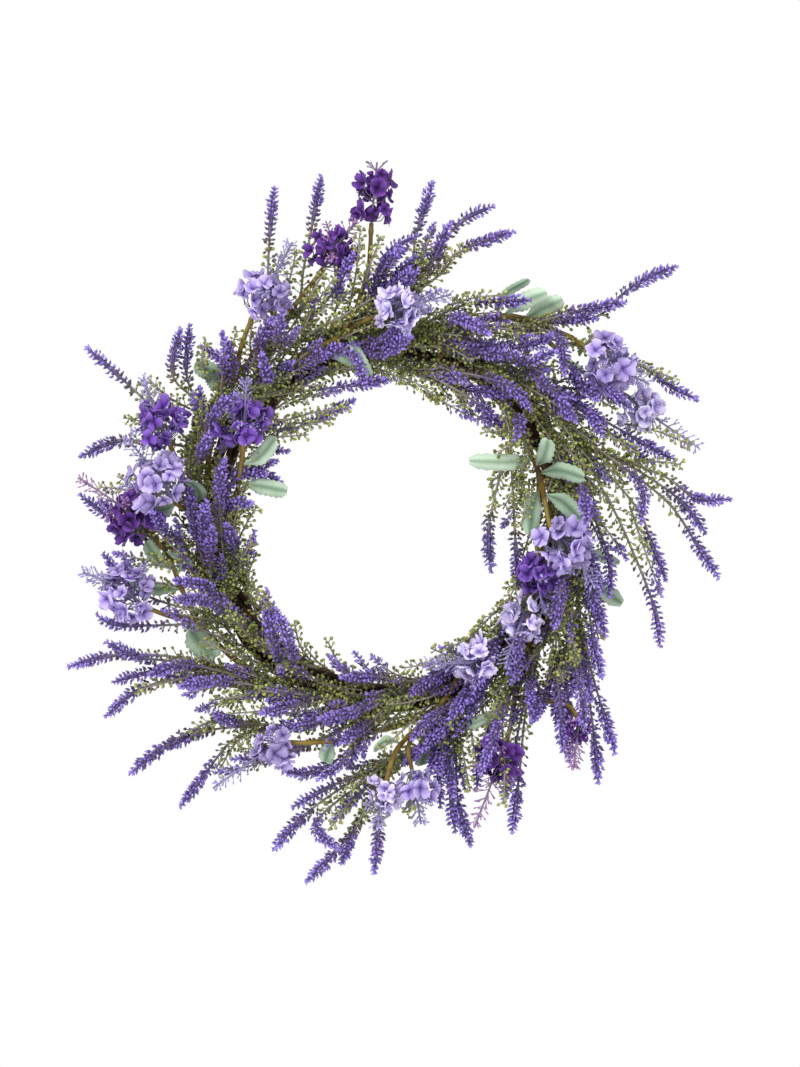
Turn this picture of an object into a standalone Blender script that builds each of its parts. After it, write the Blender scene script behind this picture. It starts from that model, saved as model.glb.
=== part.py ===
"""Artificial lavender wreath, about 0.49 m wide, that hangs on a nail by the top of its vine ring.

Four twisted vine canes make the ring. Moulded lavender sprays and leafy stems with cloth blossoms are
seated on its front and flow clockwise round it, seen from the front, which is from -Y. The layout is in
millimetres: x to the right and z up from the wreath's centre, y from the wall at 0 to the viewer at -Y.
"""

import math
import random

import bmesh
import bpy
import numpy as np

MM = 0.001

# Vine ring: four canes laid as a rope round one circle
RING_RADIUS = 130.0
RING_DEPTH = -13.5
CANE_RADIUS = 5.0
CANE_ORBIT = 7.3
CANE_COUNT = 4
CANE_TWISTS = 2
CANE_SEGMENTS = 24
CANE_CORNERS = [0, 62, 135, 225, 298]
CANE_KNOB = 0.7
BUNDLE_RADIUS = CANE_ORBIT + CANE_RADIUS

# The nail holds the ring from inside its top, which puts the wreath's centre this far below the nail
CENTRE_Z = -(RING_RADIUS - BUNDLE_RADIUS)

# Lavender sprays. A spike is a dense head of buds, then looser whorls, then a bare stem
TRUNK_RADIUS = 2.0
STEM_RADIUS = 1.3
SPIKE_RADIUS = 5.6
WHORL_RADIUS = 4.3
DENSE_LENGTH = 42.0
DENSE_STEP = 9.8
INNER_DENSE_STEP = 12.5
OUTER_TIPS = 212.0
DENSE_COLUMNS = 4
WHORL_STEP = 25.0
BUDDED_LENGTH = 82.0
DENSE_SHARE = 0.62
BARE_LEAST = 8.0
WHORL_FLARE = 6.0
BUD_HOLLOW = 0.62
TAPER_LENGTH = 22.0
TIP_ROW = 3.2

# Leafy stems and their blossoms
OLIVE_RADIUS = 2.7
OLIVE_END_RADIUS = 2.1
PETAL_COUNT = 4
FLORET_RADIUS = 8.4
TIP_RADIUS = 1.7
LEAF_THICKNESS = 1.7
LEAF_STALK = 6.0
LEAF_TEETH = 2
LEAF_NOTCH = 0.8
PETAL_NOTCH = 0.62
PETAL_CUP = 0.16
THROAT_DEPTH = 0.34
CORE_SHARE = 0.3
TIER_CORE = 2.4
HEAD_SHARE = 1.55

# Rows of florets in a head down to a radius: how far each row leans to the tip, and its count
FLORET_ROWS = [(18, [(-0.3, 4), (0.55, 3)]), (10, [(-0.15, 3), (0.65, 2)]), (0, [(0.1, 3)])]

# Seating and settling
SPRAY_TURN = math.radians(27)
LEAFY_TURN = math.radians(15)
ROOT_BEADS = 2.5
ROOT_MOST = 13
FOOT_SPARE = 1.2
FOOT_REACH = math.radians(5)
SEAT_GAP = 0.3
PATH_STEP = 3.0
CLEARANCE = 0.8
BEND_SLACK = 0.9
WALL_DEPTH = -1.0
FRONT_DEPTH = -108.0
FORK_RISE = 9.0
FORK_SINK = 0.08
FORK_FAR = 60.0
TIP_BACK = 28.0
TIP_BULGE = 34.0
TIP_SPREAD = 18.0
BULGE_RADIUS = 138.0
BULGE_WIDTH = 100.0
GOLDEN_SHARE = 0.618
HEAD_KIN = 7
SETTLE_ROUNDS = 500
PAIR_ROUNDS = 20
PAIR_MARGIN = 6.0

# Each spray: its fork, then its spikes, each from the tip back towards the fork. A third number is depth.
SPRAYS = {
    "lavender_top_left": ((-80, 140), [
        [(-83, 244), (-87, 205), (-88, 160)],
        [(-49, 253), (-56, 215), (-62, 185), (-66, 160)],
        [(-76, 151, -84), (-79, 132, -74)],
        [(-84, 147, -66), (-94, 128, -58)],
        [(-25, 195, -58), (-45, 160)],
    ]),
    "lavender_left_upright": ((-135, 85), [
        [(-151, 140), (-157, 105)],
        [(-145, 143), (-147, 105)],
        [(-137, 126), (-118, 110)],
        [(-121, 137), (-114, 108)],
    ]),
    "lavender_top_crown": ((20, 165), [
        [(33, 249), (21, 210), (18, 185)],
        [(46, 218), (28, 180)],
        [(78, 230), (60, 223), (47, 212), (35, 195)],
        [(93, 212), (65, 203), (50, 195), (38, 180)],
    ]),
    "lavender_top_middle": ((-20, 148), [
        [(22, 208), (-5, 190)],
        [(21, 193), (-4, 168)],
        [(22, 182), (0, 160)],
        [(17, 133, -78), (-8, 121, -60)],
    ]),
    "lavender_inner_top_left": ((-81, 104), [
        [(-91, 121, -78), (-87, 104, -66)],
        [(-67, 115, -62), (-80, 106)],
        [(-34, 127, -70), (-60, 113)],
        [(-15, 95, -76), (-32, 122, -70)],
        [(5, 103, -52), (-25, 98), (-60, 94)],
        [(-24, 88, -34), (-60, 70), (-82, 66)],
    ]),
    "lavender_inner_top": ((8, 117), [
        [(92, 70, -40), (55, 92)],
        [(103, 78, -60), (80, 100)],
        [(88, 90, -50), (40, 99)],
    ]),
    "lavender_top_right_outer": ((110, 140), [
        [(126, 104, -80), (124, 132, -66)],
        [(154, 147), (130, 147)],
        [(174, 159), (145, 154)],
        [(212, 186), (190, 177), (172, 166), (150, 148)],
        [(228, 88), (205, 100), (178, 118), (140, 130)],
    ]),
    "lavender_top_right": ((38, 140), [
        [(73, 133, -84), (52, 146, -70)],
        [(80, 150), (62, 142)],
        [(104, 160, -50), (58, 158)],
        [(96, 120, -66), (66, 122)],
        [(123, 121, -78), (92, 116)],
    ]),
    "lavender_right_upper": ((118, 96), [
        [(152, 86, -80), (133, 103)],
        [(177, 86), (152, 95)],
        [(136, 71, -70), (120, 86)],
        [(156, 60), (142, 80)],
        [(211, 44), (190, 55), (165, 70)],
    ]),
    "lavender_right_outer": ((150, 50), [
        [(251, 15), (225, 16), (200, 33)],
        [(233, -10), (213, 15), (180, 38)],
        [(243, -43), (228, -20), (208, 10), (182, 32)],
        [(184, -3, -62), (182, 28)],
        [(199, -93), (195, -65), (180, -25), (163, 12)],
        [(204, -45), (192, -15), (180, 12)],
    ]),
    "lavender_right_middle": ((140, 30), [
        [(142, -5, -86), (141, 18, -70)],
        [(161, -57), (160, -25)],
        [(155, -75, -40), (145, -40)],
        [(156, -116), (150, -90), (144, -50)],
        [(133, -79, -30), (128, -40)],
    ]),
    "lavender_inner_right": ((90, 60), [
        [(75, -38), (73, -10), (78, 18)],
        [(95, -50, -50), (92, 0)],
        [(92, 57, -84), (96, 72, -74)],
    ]),
    "lavender_lower_right_outer": ((134, -80), [
        [(123, -150, -34), (124, -110)],
        [(148, -133), (141, -100)],
        [(133, -178), (129, -130)],
        [(154, -193), (152, -165), (145, -115)],
    ]),
    "lavender_lower_right": ((103, -108), [
        [(103, -145, -84), (112, -128)],
        [(103, -138, -66), (104, -120)],
        [(91, -230), (97, -180), (101, -140)],
        [(65, -198, -34), (72, -158, -34)],
    ]),
    "lavender_inner_lower_right": ((86, -78), [
        [(91, -114, -64), (93, -96)],
        [(14, -130, -50), (30, -116, -46), (58, -100, -42)],
        [(58, -133, -60), (76, -108, -42)],
        [(43, -145, -52), (62, -118, -42)],
    ]),
    "lavender_bottom_right": ((48, -140), [
        [(61, -240), (51, -205), (50, -165)],
        [(38, -210), (38, -175)],
        [(47, -200, -70), (44, -165)],
        [(17, -160, -62), (30, -146)],
        [(13, -180, -34), (34, -158)],
    ]),
    "lavender_bottom": ((-8, -182), [
        [(-10, -260), (-7, -225)],
        [(-60, -265), (-45, -250), (-22, -222)],
        [(-34, -250, -60), (-20, -218)],
        [(-84, -241), (-60, -215), (-30, -194)],
        [(-70, -210), (-42, -195)],
        [(-36, -237, -84), (-52, -222, -66), (-34, -204)],
        [(-42, -222, -40), (-20, -200)],
    ]),
    "lavender_bottom_left": ((-14, -140), [
        [(-77, -184, -40), (-55, -184), (-30, -168)],
        [(-93, -140, -70), (-50, -133)],
        [(-83, -152, -56), (-48, -146)],
        [(-115, -175), (-70, -170)],
        [(-35, -162, -72), (-20, -152)],
        [(-50, -143, -82), (-28, -141, -66)],
        [(-35, -115, -62), (-8, -114)],
    ]),
    "lavender_left_lower_fan": ((-98, -150), [
        [(-189, -186), (-165, -167), (-130, -148)],
        [(-163, -168), (-135, -155)],
        [(-153, -211), (-135, -187), (-112, -160)],
        [(-127, -140, -62), (-112, -147)],
    ]),
    "lavender_left_low": ((-100, -112), [
        [(-235, -108), (-205, -100), (-160, -100)],
        [(-206, -89), (-182, -100), (-150, -104)],
        [(-202, -119), (-185, -114), (-145, -108)],
        [(-208, -145), (-185, -126), (-145, -115)],
        [(-173, -112, -72), (-142, -106)],
        [(-165, -113, -50), (-122, -121)],
        [(-150, -120, -84), (-118, -117, -64)],
    ]),
    "lavender_left_lower": ((-108, -74), [
        [(-213, -69), (-200, -76), (-165, -77)],
        [(-209, -24), (-193, -45), (-170, -58), (-135, -68)],
        [(-155, -43, -74), (-130, -50)],
        [(-153, -57, -86), (-128, -60, -68)],
        [(-83, -60, -58), (-88, -84)],
    ]),
    "lavender_left_middle": ((-138, -28), [
        [(-226, 19), (-205, 3), (-175, -15)],
        [(-169, 8, -76), (-158, -12)],
        [(-148, 24, -64), (-143, 0)],
        [(-130, 14, -88), (-133, -6, -70)],
    ]),
    "lavender_inner_left": ((-115, -40), [
        [(-117, -2, -70), (-111, -24)],
        [(-97, -8, -44), (-104, -30)],
        [(-97, 12, -72), (-118, 6)],
        [(-117, 45, -78), (-122, 18, -68)],
        [(-77, 27, -54), (-104, 36), (-124, 12)],
    ]),
    "lavender_left_upper": ((-148, 60), [
        [(-222, 127), (-200, 108), (-172, 82)],
        [(-225, 46), (-195, 58)],
        [(-137, 98, -50), (-138, 74)],
        [(-108, 90, -86), (-124, 76, -74)],
        [(-128, 63, -92), (-132, 52, -80)],
    ]),
}

PALE_LILAC = (0.60, 0.50, 0.87)
BRIGHT_LILAC = (0.71, 0.63, 0.93)
MID_VIOLET = (0.28, 0.12, 0.55)
DARK_PURPLE = (0.12, 0.035, 0.27)

# Each blossom head: colour, radius, the stem's end, the head's centre and the end of its plastic tip
BLOSSOMS = {
    "blossom_top": (DARK_PURPLE, 14, (-12, 216, -36), (-10, 240, -38), (-8, 262, -38)),
    "blossom_top_front": (BRIGHT_LILAC, 16, (1, 149, -60), (14, 153, -78), (46, 163, -66)),
    "blossom_top_left_dark": (DARK_PURPLE, 18, (-47, 184, -44), (-38, 198, -50), (-22, 219, -48)),
    "blossom_top_left_pale": (PALE_LILAC, 19, (-98, 150, -48), (-88, 166, -56), (-70, 203, -42)),
    "blossom_right_pale": (PALE_LILAC, 20, (149, 121, -46), (164, 111, -56), (190, 98, -52)),
    "blossom_right_outer": (BRIGHT_LILAC, 15, (176, 90, -40), (187, 80, -44), (228, 53, -36)),
    "blossom_right_front": (PALE_LILAC, 20, (119, -7, -66), (133, -20, -78), (149, -48, -70)),
    "blossom_right_violet": (MID_VIOLET, 14, (109, -30, -54), (109, -46, -62), (112, -68, -60)),
    "blossom_lower_right": (BRIGHT_LILAC, 15, (101, -62, -62), (95, -77, -74), (84, -108, -70)),
    "blossom_lower_right_pale": (BRIGHT_LILAC, 15, (72, -98, -60), (57, -103, -74), (26, -104, -68)),
    "blossom_low_right_dark": (DARK_PURPLE, 16, (85, -166, -48), (78, -184, -58), (63, -224, -50)),
    "blossom_outer_right_dark": (DARK_PURPLE, 9, (138, -145, -58), (137, -155, -66), (135, -180, -60)),
    "blossom_bottom": (PALE_LILAC, 15, (18, -182, -52), (20, -196, -60), (24, -221, -56)),
    "blossom_bottom_pale": (BRIGHT_LILAC, 12, (-1, -190, -68), (-4, -203, -76), (-8, -222, -70)),
    "blossom_bottom_left": (PALE_LILAC, 14, (-75, -162, -58), (-88, -167, -70), (-127, -195, -56)),
    "blossom_left_low": (PALE_LILAC, 20, (-178, -62, -44), (-193, -49, -50), (-222, -38, -44)),
    "blossom_left_dark": (DARK_PURPLE, 17, (-178, -4, -46), (-195, 11, -52), (-226, 31, -44)),
    "blossom_left_pale": (PALE_LILAC, 22, (-153, 13, -58), (-165, 32, -70), (-190, 60, -60)),
    "blossom_left_violet": (MID_VIOLET, 17, (-159, 56, -58), (-167, 73, -66), (-178, 104, -52)),
    "blossom_inner_left": (MID_VIOLET, 16, (-105, 60, -62), (-103, 76, -74), (-103, 102, -66)),
}
BLOSSOM_TIERS = {"blossom_top": [(9, 13, 4), (24, 13, 4), (35, 10, 3)]}

# Each leafy stem: its fork, the way from there to each blossom, and its leaves with the width of each
LEAFY_STEMS = {
    "leafy_stem_top": ((-35, 134, -43), {
        "blossom_top": [(-20, 155), (-13, 180)],
        "blossom_top_front": [(-14, 146)],
    }, [
        ([(-40, 122), (-28, 116)], 10),
        ([(-22, 124), (-14, 108)], 8),
    ]),
    "leafy_stem_top_left": ((-114, 100), {
        "blossom_top_left_pale": [(-108, 124)],
        "blossom_top_left_dark": [(-92, 128, -34), (-66, 160, -34)],
    }, [
        ([(-118, 92), (-126, 104)], 16),
        ([(-122, 104), (-137, 112)], 14),
    ]),
    "leafy_stem_top_right": ((62, 146), {
        "blossom_right_pale": [(92, 150, -24), (125, 137, -24)],
        "blossom_right_outer": [(100, 146, -18), (140, 112, -20)],
    }, [
        ([(84, 154), (112, 165)], 13),
        ([(98, 148), (124, 160)], 13),
        ([(76, 160), (99, 174)], 7),
        ([(126, 120), (139, 112)], 6),
    ]),
    "leafy_stem_right": ((112, 32), {
        "blossom_right_front": [(114, 14)],
        "blossom_right_violet": [(109, 8, -44), (108, -12, -50)],
    }, [
        ([(96, 40, -62), (64, 42, -70)], 12),
        ([(106, 22, -60), (103, -6, -68)], 13),
        ([(122, 20, -62), (137, 3, -72)], 13),
        ([(115, 42, -62), (116, 54, -66)], 12),
        ([(124, 40, -60), (138, 33, -66)], 12),
    ]),
    "leafy_stem_inner_right": ((108, -40), {
        "blossom_lower_right": [(106, -52)],
        "blossom_lower_right_pale": [(103, -66, -38), (90, -88, -44)],
    }, [
        ([(150, -42, -30), (169, -58, -28)], 14),
        ([(146, -24, -28), (166, -30, -24)], 8),
    ]),
    "leafy_stem_low_right": ((93, -130), {
        "blossom_low_right_dark": [(90, -148)],
        "blossom_outer_right_dark": [(112, -132, -40), (130, -134, -48)],
    }, [
        ([(80, -140), (62, -148)], 9),
    ]),
    "leafy_stem_bottom": ((24, -150), {
        "blossom_bottom": [(16, -166)],
        "blossom_bottom_pale": [(6, -168, -52)],
    }, [
        ([(30, -158), (23, -174)], 13),
        ([(2, -156), (-7, -164)], 7),
    ]),
    "leafy_stem_bottom_left": ((-16, -156), {
        "blossom_bottom_left": [(-35, -161), (-58, -162)],
    }, [
        ([(-38, -154), (-44, -172)], 12),
    ]),
    "leafy_stem_left_low": ((-142, -72), {
        "blossom_left_low": [(-160, -70)],
        "blossom_left_dark": [(-152, -48, -40), (-162, -24, -42)],
    }, [
        ([(-160, -40), (-174, -20)], 11),
        ([(-160, -56), (-187, -45)], 10),
        ([(-148, -80), (-130, -98)], 19),
        ([(-140, -34), (-154, -25)], 11),
    ]),
    "leafy_stem_left": ((-140, 2), {
        "blossom_left_pale": [(-147, 8)],
        "blossom_left_violet": [(-146, 22, -40), (-154, 42, -44)],
    }, [
        ([(-158, 2, -46), (-180, 11, -42)], 12),
        ([(-132, 14), (-142, 26)], 11),
    ]),
    "leafy_stem_inner_left": ((-112, 10), {
        "blossom_inner_left": [(-109, 28), (-106, 46)],
    }, [
        ([(-98, 38), (-84, 55)], 12),
        ([(-98, 26), (-78, 22)], 12),
    ]),
}


def unit(vector):
    return vector / max(1e-9, float(np.linalg.norm(vector)))


def ring_frame(angle):
    """Centre of the bundle at an angle round the ring, with its outward and its forward direction."""
    outward = np.array([math.cos(angle), 0.0, math.sin(angle)])
    centre = RING_RADIUS * outward + np.array([0.0, RING_DEPTH, 0.0])
    return centre, outward, np.array([0.0, -1.0, 0.0])


def cane_point(cane, angle, distance=CANE_ORBIT):
    """A point of one cane: on its centre line, or further out from the bundle's."""
    centre, outward, forward = ring_frame(angle)
    phase = 2 * math.pi * cane / CANE_COUNT + CANE_TWISTS * angle
    return centre + distance * (math.cos(phase) * outward + math.sin(phase) * forward)


def smooth_path(points, step=PATH_STEP):
    """Catmull-Rom curve through the points, read at even steps."""
    points = [np.asarray(point, float) for point in points]
    points = [2 * points[0] - points[1]] + points + [2 * points[-1] - points[-2]]
    curve = []
    for before, start, end, after in zip(points, points[1:], points[2:], points[3:]):
        for t in np.linspace(0, 1, 16, endpoint=False):
            curve.append(0.5 * (2 * start + (end - before) * t
                                + (2 * before - 5 * start + 4 * end - after) * t ** 2
                                + (3 * start - before - 3 * end + after) * t ** 3))
    curve.append(points[-2])
    curve = np.array(curve)
    along = np.concatenate([[0], np.cumsum(np.linalg.norm(np.diff(curve, axis=0), axis=1))])
    count = max(3, int(round(along[-1] / step)) + 1)
    wanted = np.linspace(0, along[-1], count)
    return np.column_stack([np.interp(wanted, along, curve[:, axis]) for axis in range(3)])


def lengths_of(path):
    return np.concatenate([[0], np.cumsum(np.linalg.norm(np.diff(path, axis=0), axis=1))])


def placed(points, start, end_depth):
    """Points (x, z) or (x, z, depth) as x, y, z, with the missing depths shared out along the way."""
    run = [math.hypot(start[0] - points[0][0], start[2] - points[0][1])]
    for one, other in zip(points, points[1:]):
        run.append(run[-1] + math.hypot(one[0] - other[0], one[1] - other[1]))
    result = []
    for point, distance in zip(points, run):
        share = math.sin(0.5 * math.pi * distance / run[-1])
        depth = point[2] if len(point) > 2 else start[1] + (end_depth - start[1]) * share
        result.append(np.array([point[0], depth, point[1]], float))
    return result


def fork_depth(x, z):
    """A fork lies just in front of the ring, and sinks back a little away from it."""
    off_ring = abs(math.hypot(x, z) - RING_RADIUS)
    return RING_DEPTH - BUNDLE_RADIUS - FORK_RISE + FORK_SINK * min(FORK_FAR, off_ring)


def tip_depth(x, z, order):
    """Tips over the ring stand forward, those far out and far in lie back."""
    band = max(0.0, 1 - abs(math.hypot(x, z) - BULGE_RADIUS) / BULGE_WIDTH)
    return -(TIP_BACK + TIP_BULGE * band) - TIP_SPREAD * ((order * GOLDEN_SHARE) % 1.0)


class Layout:
    """Chains of round beads, one chain for each stem, that are pushed apart until none touch."""

    def __init__(self):
        self.points, self.radii, self.owner, self.kin = [], [], [], []
        self.free, self.before, self.after, self.chains = [], [], [], {}
        self.seats, self.seated, self.head_bead = [], {}, {}

    def add(self, name, node, path, radii, parent=None, pinned=0, kin=-1):
        first = len(self.points)
        last = first + len(path) - 1
        for index, (point, radius) in enumerate(zip(path, radii)):
            here = first + index
            self.points.append(point)
            self.radii.append(radius)
            self.owner.append(node[index] if isinstance(node, list) else node)
            self.kin.append(kin[index] if isinstance(kin, list) else kin)
            self.free.append(index >= pinned)
            self.before.append(here - 1 if index else (first if parent is None else parent))
            self.after.append(min(here + 1, last))
        self.chains[name] = (first, last + 1, parent)
        return last

    def settle(self):
        """Moves the beads, mostly in depth, and keeps each chain smooth and each root on its parent."""
        target = np.array(self.points)
        radius = np.array(self.radii)
        names = {name: index for index, name in enumerate(dict.fromkeys(self.owner))}
        owner = np.array([names[name] for name in self.owner])
        kin = np.array(self.kin)
        free = np.array(self.free)
        before, after = np.array(self.before), np.array(self.after)
        roots = [(first, parent) for first, _, parent in self.chains.values() if parent is not None]
        shift = np.zeros_like(target)
        ease = np.array([0.35, 1.0, 0.35])
        for turn in range(SETTLE_ROUNDS):
            place = target + shift
            if turn % PAIR_ROUNDS == 0:
                one, other = near_pairs(place, radius, owner, kin, free)
            apart = place[one] - place[other]
            distance = np.linalg.norm(apart, axis=1)
            need = radius[one] + radius[other] + CLEARANCE - distance
            touching = need > 0
            one_now, other_now = one[touching], other[touching]
            apart, need = apart[touching], need[touching]
            ahead = np.sign(target[one_now, 1] - target[other_now, 1] + 1e-6)
            apart[:, 1] += 0.4 * ahead * (radius[one_now] + radius[other_now])
            apart *= ease
            apart /= np.maximum(1e-6, np.linalg.norm(apart, axis=1))[:, None]
            share = np.where(free[one_now] & free[other_now], 0.5, 1.0)
            push = apart * (need * share)[:, None]
            total = np.zeros_like(shift)
            count = np.zeros(len(shift))
            np.add.at(total, one_now, push)
            np.add.at(total, other_now, -push)
            np.add.at(count, one_now, 1)
            np.add.at(count, other_now, 1)
            shift += 1.3 * total / np.maximum(1, count)[:, None] * free[:, None]
            for _ in range(2 if turn < 0.6 * SETTLE_ROUNDS else 1):
                mean = 0.5 * (shift[before] + shift[after])
                shift = np.where(free[:, None], 0.5 * shift + 0.5 * mean, shift)
            if turn < 0.8 * SETTLE_ROUNDS:
                shift *= np.array([0.985, 0.998, 0.985])
            depth = target[:, 1] + shift[:, 1]
            low, high = FRONT_DEPTH + radius, WALL_DEPTH - radius
            shift[:, 1] = np.where(free, np.clip(depth, low, high) - target[:, 1], shift[:, 1])
            for first, parent in roots:
                shift[first] = shift[parent]
        return target + shift

    def paths(self):
        """The settled way of every stem and leaf, with each blossom's split off where its head starts."""
        settled = self.settle()
        paths = {name: settled[first:last] for name, (first, last, _) in self.chains.items()}
        for blossom, bead in self.head_bead.items():
            paths[blossom + ".stem"] = paths[blossom][: bead + 1]
            paths[blossom] = paths[blossom][bead:]
        return paths


def near_pairs(place, radius, owner, kin, free):
    """Pairs of beads of different nodes that are close enough to matter."""
    ones, others = [], []
    squares = (place ** 2).sum(axis=1)
    for start in range(0, len(place), 800):
        block = slice(start, start + 800)
        gap = squares[block, None] + squares[None] - 2 * place[block] @ place.T
        reach = radius[block, None] + radius[None] + PAIR_MARGIN
        one, other = np.nonzero(gap < reach ** 2)
        one += start
        keep = (one < other) & (owner[one] != owner[other]) & (free[one] | free[other])
        keep &= (kin[one] < 0) | (kin[one] != kin[other])
        ones.append(one[keep])
        others.append(other[keep])
    return np.concatenate(ones), np.concatenate(others)


def seat_on(cane, angle, radius):
    """Three points that lie along the crest of one cane, upstream of the angle."""
    reach = BUNDLE_RADIUS + SEAT_GAP + 0.9 * radius
    return [cane_point(cane, angle + turn, reach) for turn in (FOOT_REACH, 0.5 * FOOT_REACH, 0)]


def free_seat(fork, radius, turn, taken):
    """The seat upstream of the fork that faces forward and is clear of the stems seated so far."""
    upstream = math.atan2(fork[2], fork[0]) + turn
    step = 2 * math.pi / CANE_SEGMENTS
    found = []
    for shift in (0, 1, -1, 2, -2, 3):
        angle = step * (round(upstream / step) + shift)
        for cane in range(CANE_COUNT):
            forward = (cane_point(cane, angle)[1] - RING_DEPTH) / CANE_ORBIT
            if forward > -0.45:
                continue
            seat = seat_on(cane, angle, radius)
            rise = unit(fork - seat[-1])
            way = seat + [seat[-1] + 3.0 * step_out * rise for step_out in range(1, 6)]
            gaps = [np.linalg.norm(one - other) - radius - wide for one in way for other, wide in taken]
            spare = min([FOOT_SPARE] + gaps)
            cost = 12 * (FOOT_SPARE - spare) + 4 * abs(shift) + 5 * forward
            found.append((cost, len(found), seat, way))
    _, _, seat, way = min(found)
    taken += [(point, radius) for point in way]
    return seat


def add_foot(layout, node, fork, radius, turn):
    """Seats a stem on the ring and runs it round to its fork; returns the bead at the fork."""
    seat = free_seat(fork, radius, turn, layout.seats)
    start = math.atan2(seat[-1][2], seat[-1][0])
    sweep = (math.atan2(fork[2], fork[0]) - start + math.pi) % (2 * math.pi) - math.pi
    way = []
    if abs(sweep) > math.radians(20):
        for share in (0.4, 0.7):
            angle = start + share * sweep
            reach = np.hypot(*seat[-1][[0, 2]]) * (1 - share) + np.hypot(*fork[[0, 2]]) * share
            way.append(np.array([reach * math.cos(angle), fork[1], reach * math.sin(angle)]))
    path = smooth_path(seat + way + [fork])
    near = int(np.linalg.norm(path - seat[-1], axis=1).argmin())
    layout.seated[node] = near
    return layout.add(node + ".trunk", node, path, [radius] * len(path), pinned=near + 1)


def spike_radii(path):
    """How far the buds reach from the stem, bead by bead."""
    to_tip = lengths_of(path)[-1] - lengths_of(path)
    dense = min(DENSE_LENGTH, DENSE_SHARE * to_tip[0])
    budded = min(BUDDED_LENGTH, to_tip[0] - BARE_LEAST)
    return np.where(to_tip < dense, SPIKE_RADIUS,
                    np.where(to_tip < budded, WHORL_RADIUS - 0.3, STEM_RADIUS + 0.5))


def lay_out():
    """Every stem, spike, leaf and blossom axis of the wreath, settled clear of each other."""
    layout = Layout()
    for cane in range(CANE_COUNT):
        circle = np.linspace(0, 2 * math.pi, 220, endpoint=False)
        path = [cane_point(cane, angle) for angle in circle]
        name = f"vine_cane_{cane + 1}"
        layout.add(name, name, path, [CANE_RADIUS + 0.2] * len(path), pinned=len(path))
    order = 0
    for node, (fork, spikes) in SPRAYS.items():
        fork = np.array([fork[0], fork_depth(*fork), fork[1]], float)
        parent = add_foot(layout, node, fork, TRUNK_RADIUS, SPRAY_TURN)
        for index, spike in enumerate(spikes):
            order += 1
            points = placed(spike[::-1], fork, tip_depth(*spike[0][:2], order))
            root = parent - min(ROOT_MOST, int(ROOT_BEADS * index))
            path = smooth_path([layout.points[root]] + points)
            layout.add(f"{node}.spike_{index}", node, path, spike_radii(path), root)
    for node, (fork, ways, leaves) in LEAFY_STEMS.items():
        fork = np.array([fork[0], fork[2] if len(fork) > 2 else fork_depth(*fork), fork[1]], float)
        parent = add_foot(layout, node, fork, OLIVE_RADIUS, LEAFY_TURN)
        for blossom, way in ways.items():
            _, radius, root, centre, tip = BLOSSOMS[blossom]
            way = placed(way + [root], fork, root[2])
            head = [np.array([x, y, z], float) for x, z, y in (root, centre, tip)]
            path = smooth_path([fork] + way + head[1:])
            gap = [np.linalg.norm(path - point, axis=1) for point in head]
            stem_end, middle = gap[0].argmin(), gap[1].argmin()
            radii = [OLIVE_RADIUS + 0.3] * stem_end + [TIP_RADIUS + 0.8] * (len(path) - stem_end)
            for beside, share in ((0, 1.0), (1, 0.95), (2, 0.8)):
                radii[middle + beside] = share * radius
                radii[middle - beside] = share * radius
            for tier, reach, _ in BLOSSOM_TIERS.get(blossom, []):
                radii[stem_end + int(round(tier / PATH_STEP))] = reach
            owners = [node] * stem_end + [blossom] * (len(path) - stem_end)
            close = [max(0, stem_end - HEAD_KIN) <= index for index in range(len(path))]
            kin = [list(BLOSSOMS).index(blossom) if near else -1 for near in close]
            layout.add(blossom, owners, path, radii, parent, kin=kin)
            layout.head_bead[blossom] = int(stem_end)
        stems = [chain for chain in layout.chains if chain in ways or chain == node + ".trunk"]
        for index, (points, width) in enumerate(leaves):
            base = np.array([points[0][0], 0.0, points[0][1]])
            best = None
            for chain in stems:
                first, last, _ = layout.chains[chain]
                for bead in range(first, last):
                    if layout.owner[bead] == node and (best is None or off(bead, layout, base) < best[0]):
                        best = (off(bead, layout, base), bead)
            start = np.array(layout.points[best[1]])
            points = [tuple(0.5 * (one + other) for one, other in zip(*points)), points[-1]]
            path = smooth_path([start] + placed(points, start, start[1] - 8.0))
            share = np.linspace(0, 1, len(path))
            radii = np.where(share > 0.25, 0.33 * width, 1.2)
            layout.add(f"{node}.leaf_{index}", node, path, radii, best[1])
    return layout


def off(bead, layout, base):
    """How far a bead is from a leaf's base, seen from the front."""
    return float(np.linalg.norm((layout.points[bead] - base)[[0, 2]]))


def frames_along(path):
    """Two directions square to the path at each point, carried along it without twisting."""
    along = np.gradient(path, axis=0)
    along /= np.linalg.norm(along, axis=1)[:, None]
    side = np.cross(along[0], [0.0, -1.0, 0.0])
    if np.linalg.norm(side) < 0.1:
        side = np.cross(along[0], [1.0, 0.0, 0.0])
    sides = [unit(side)]
    for direction in along[1:]:
        last = sides[-1]
        sides.append(unit(last - direction * (last @ direction)))
    return along, np.array(sides), np.cross(along, sides)


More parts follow.
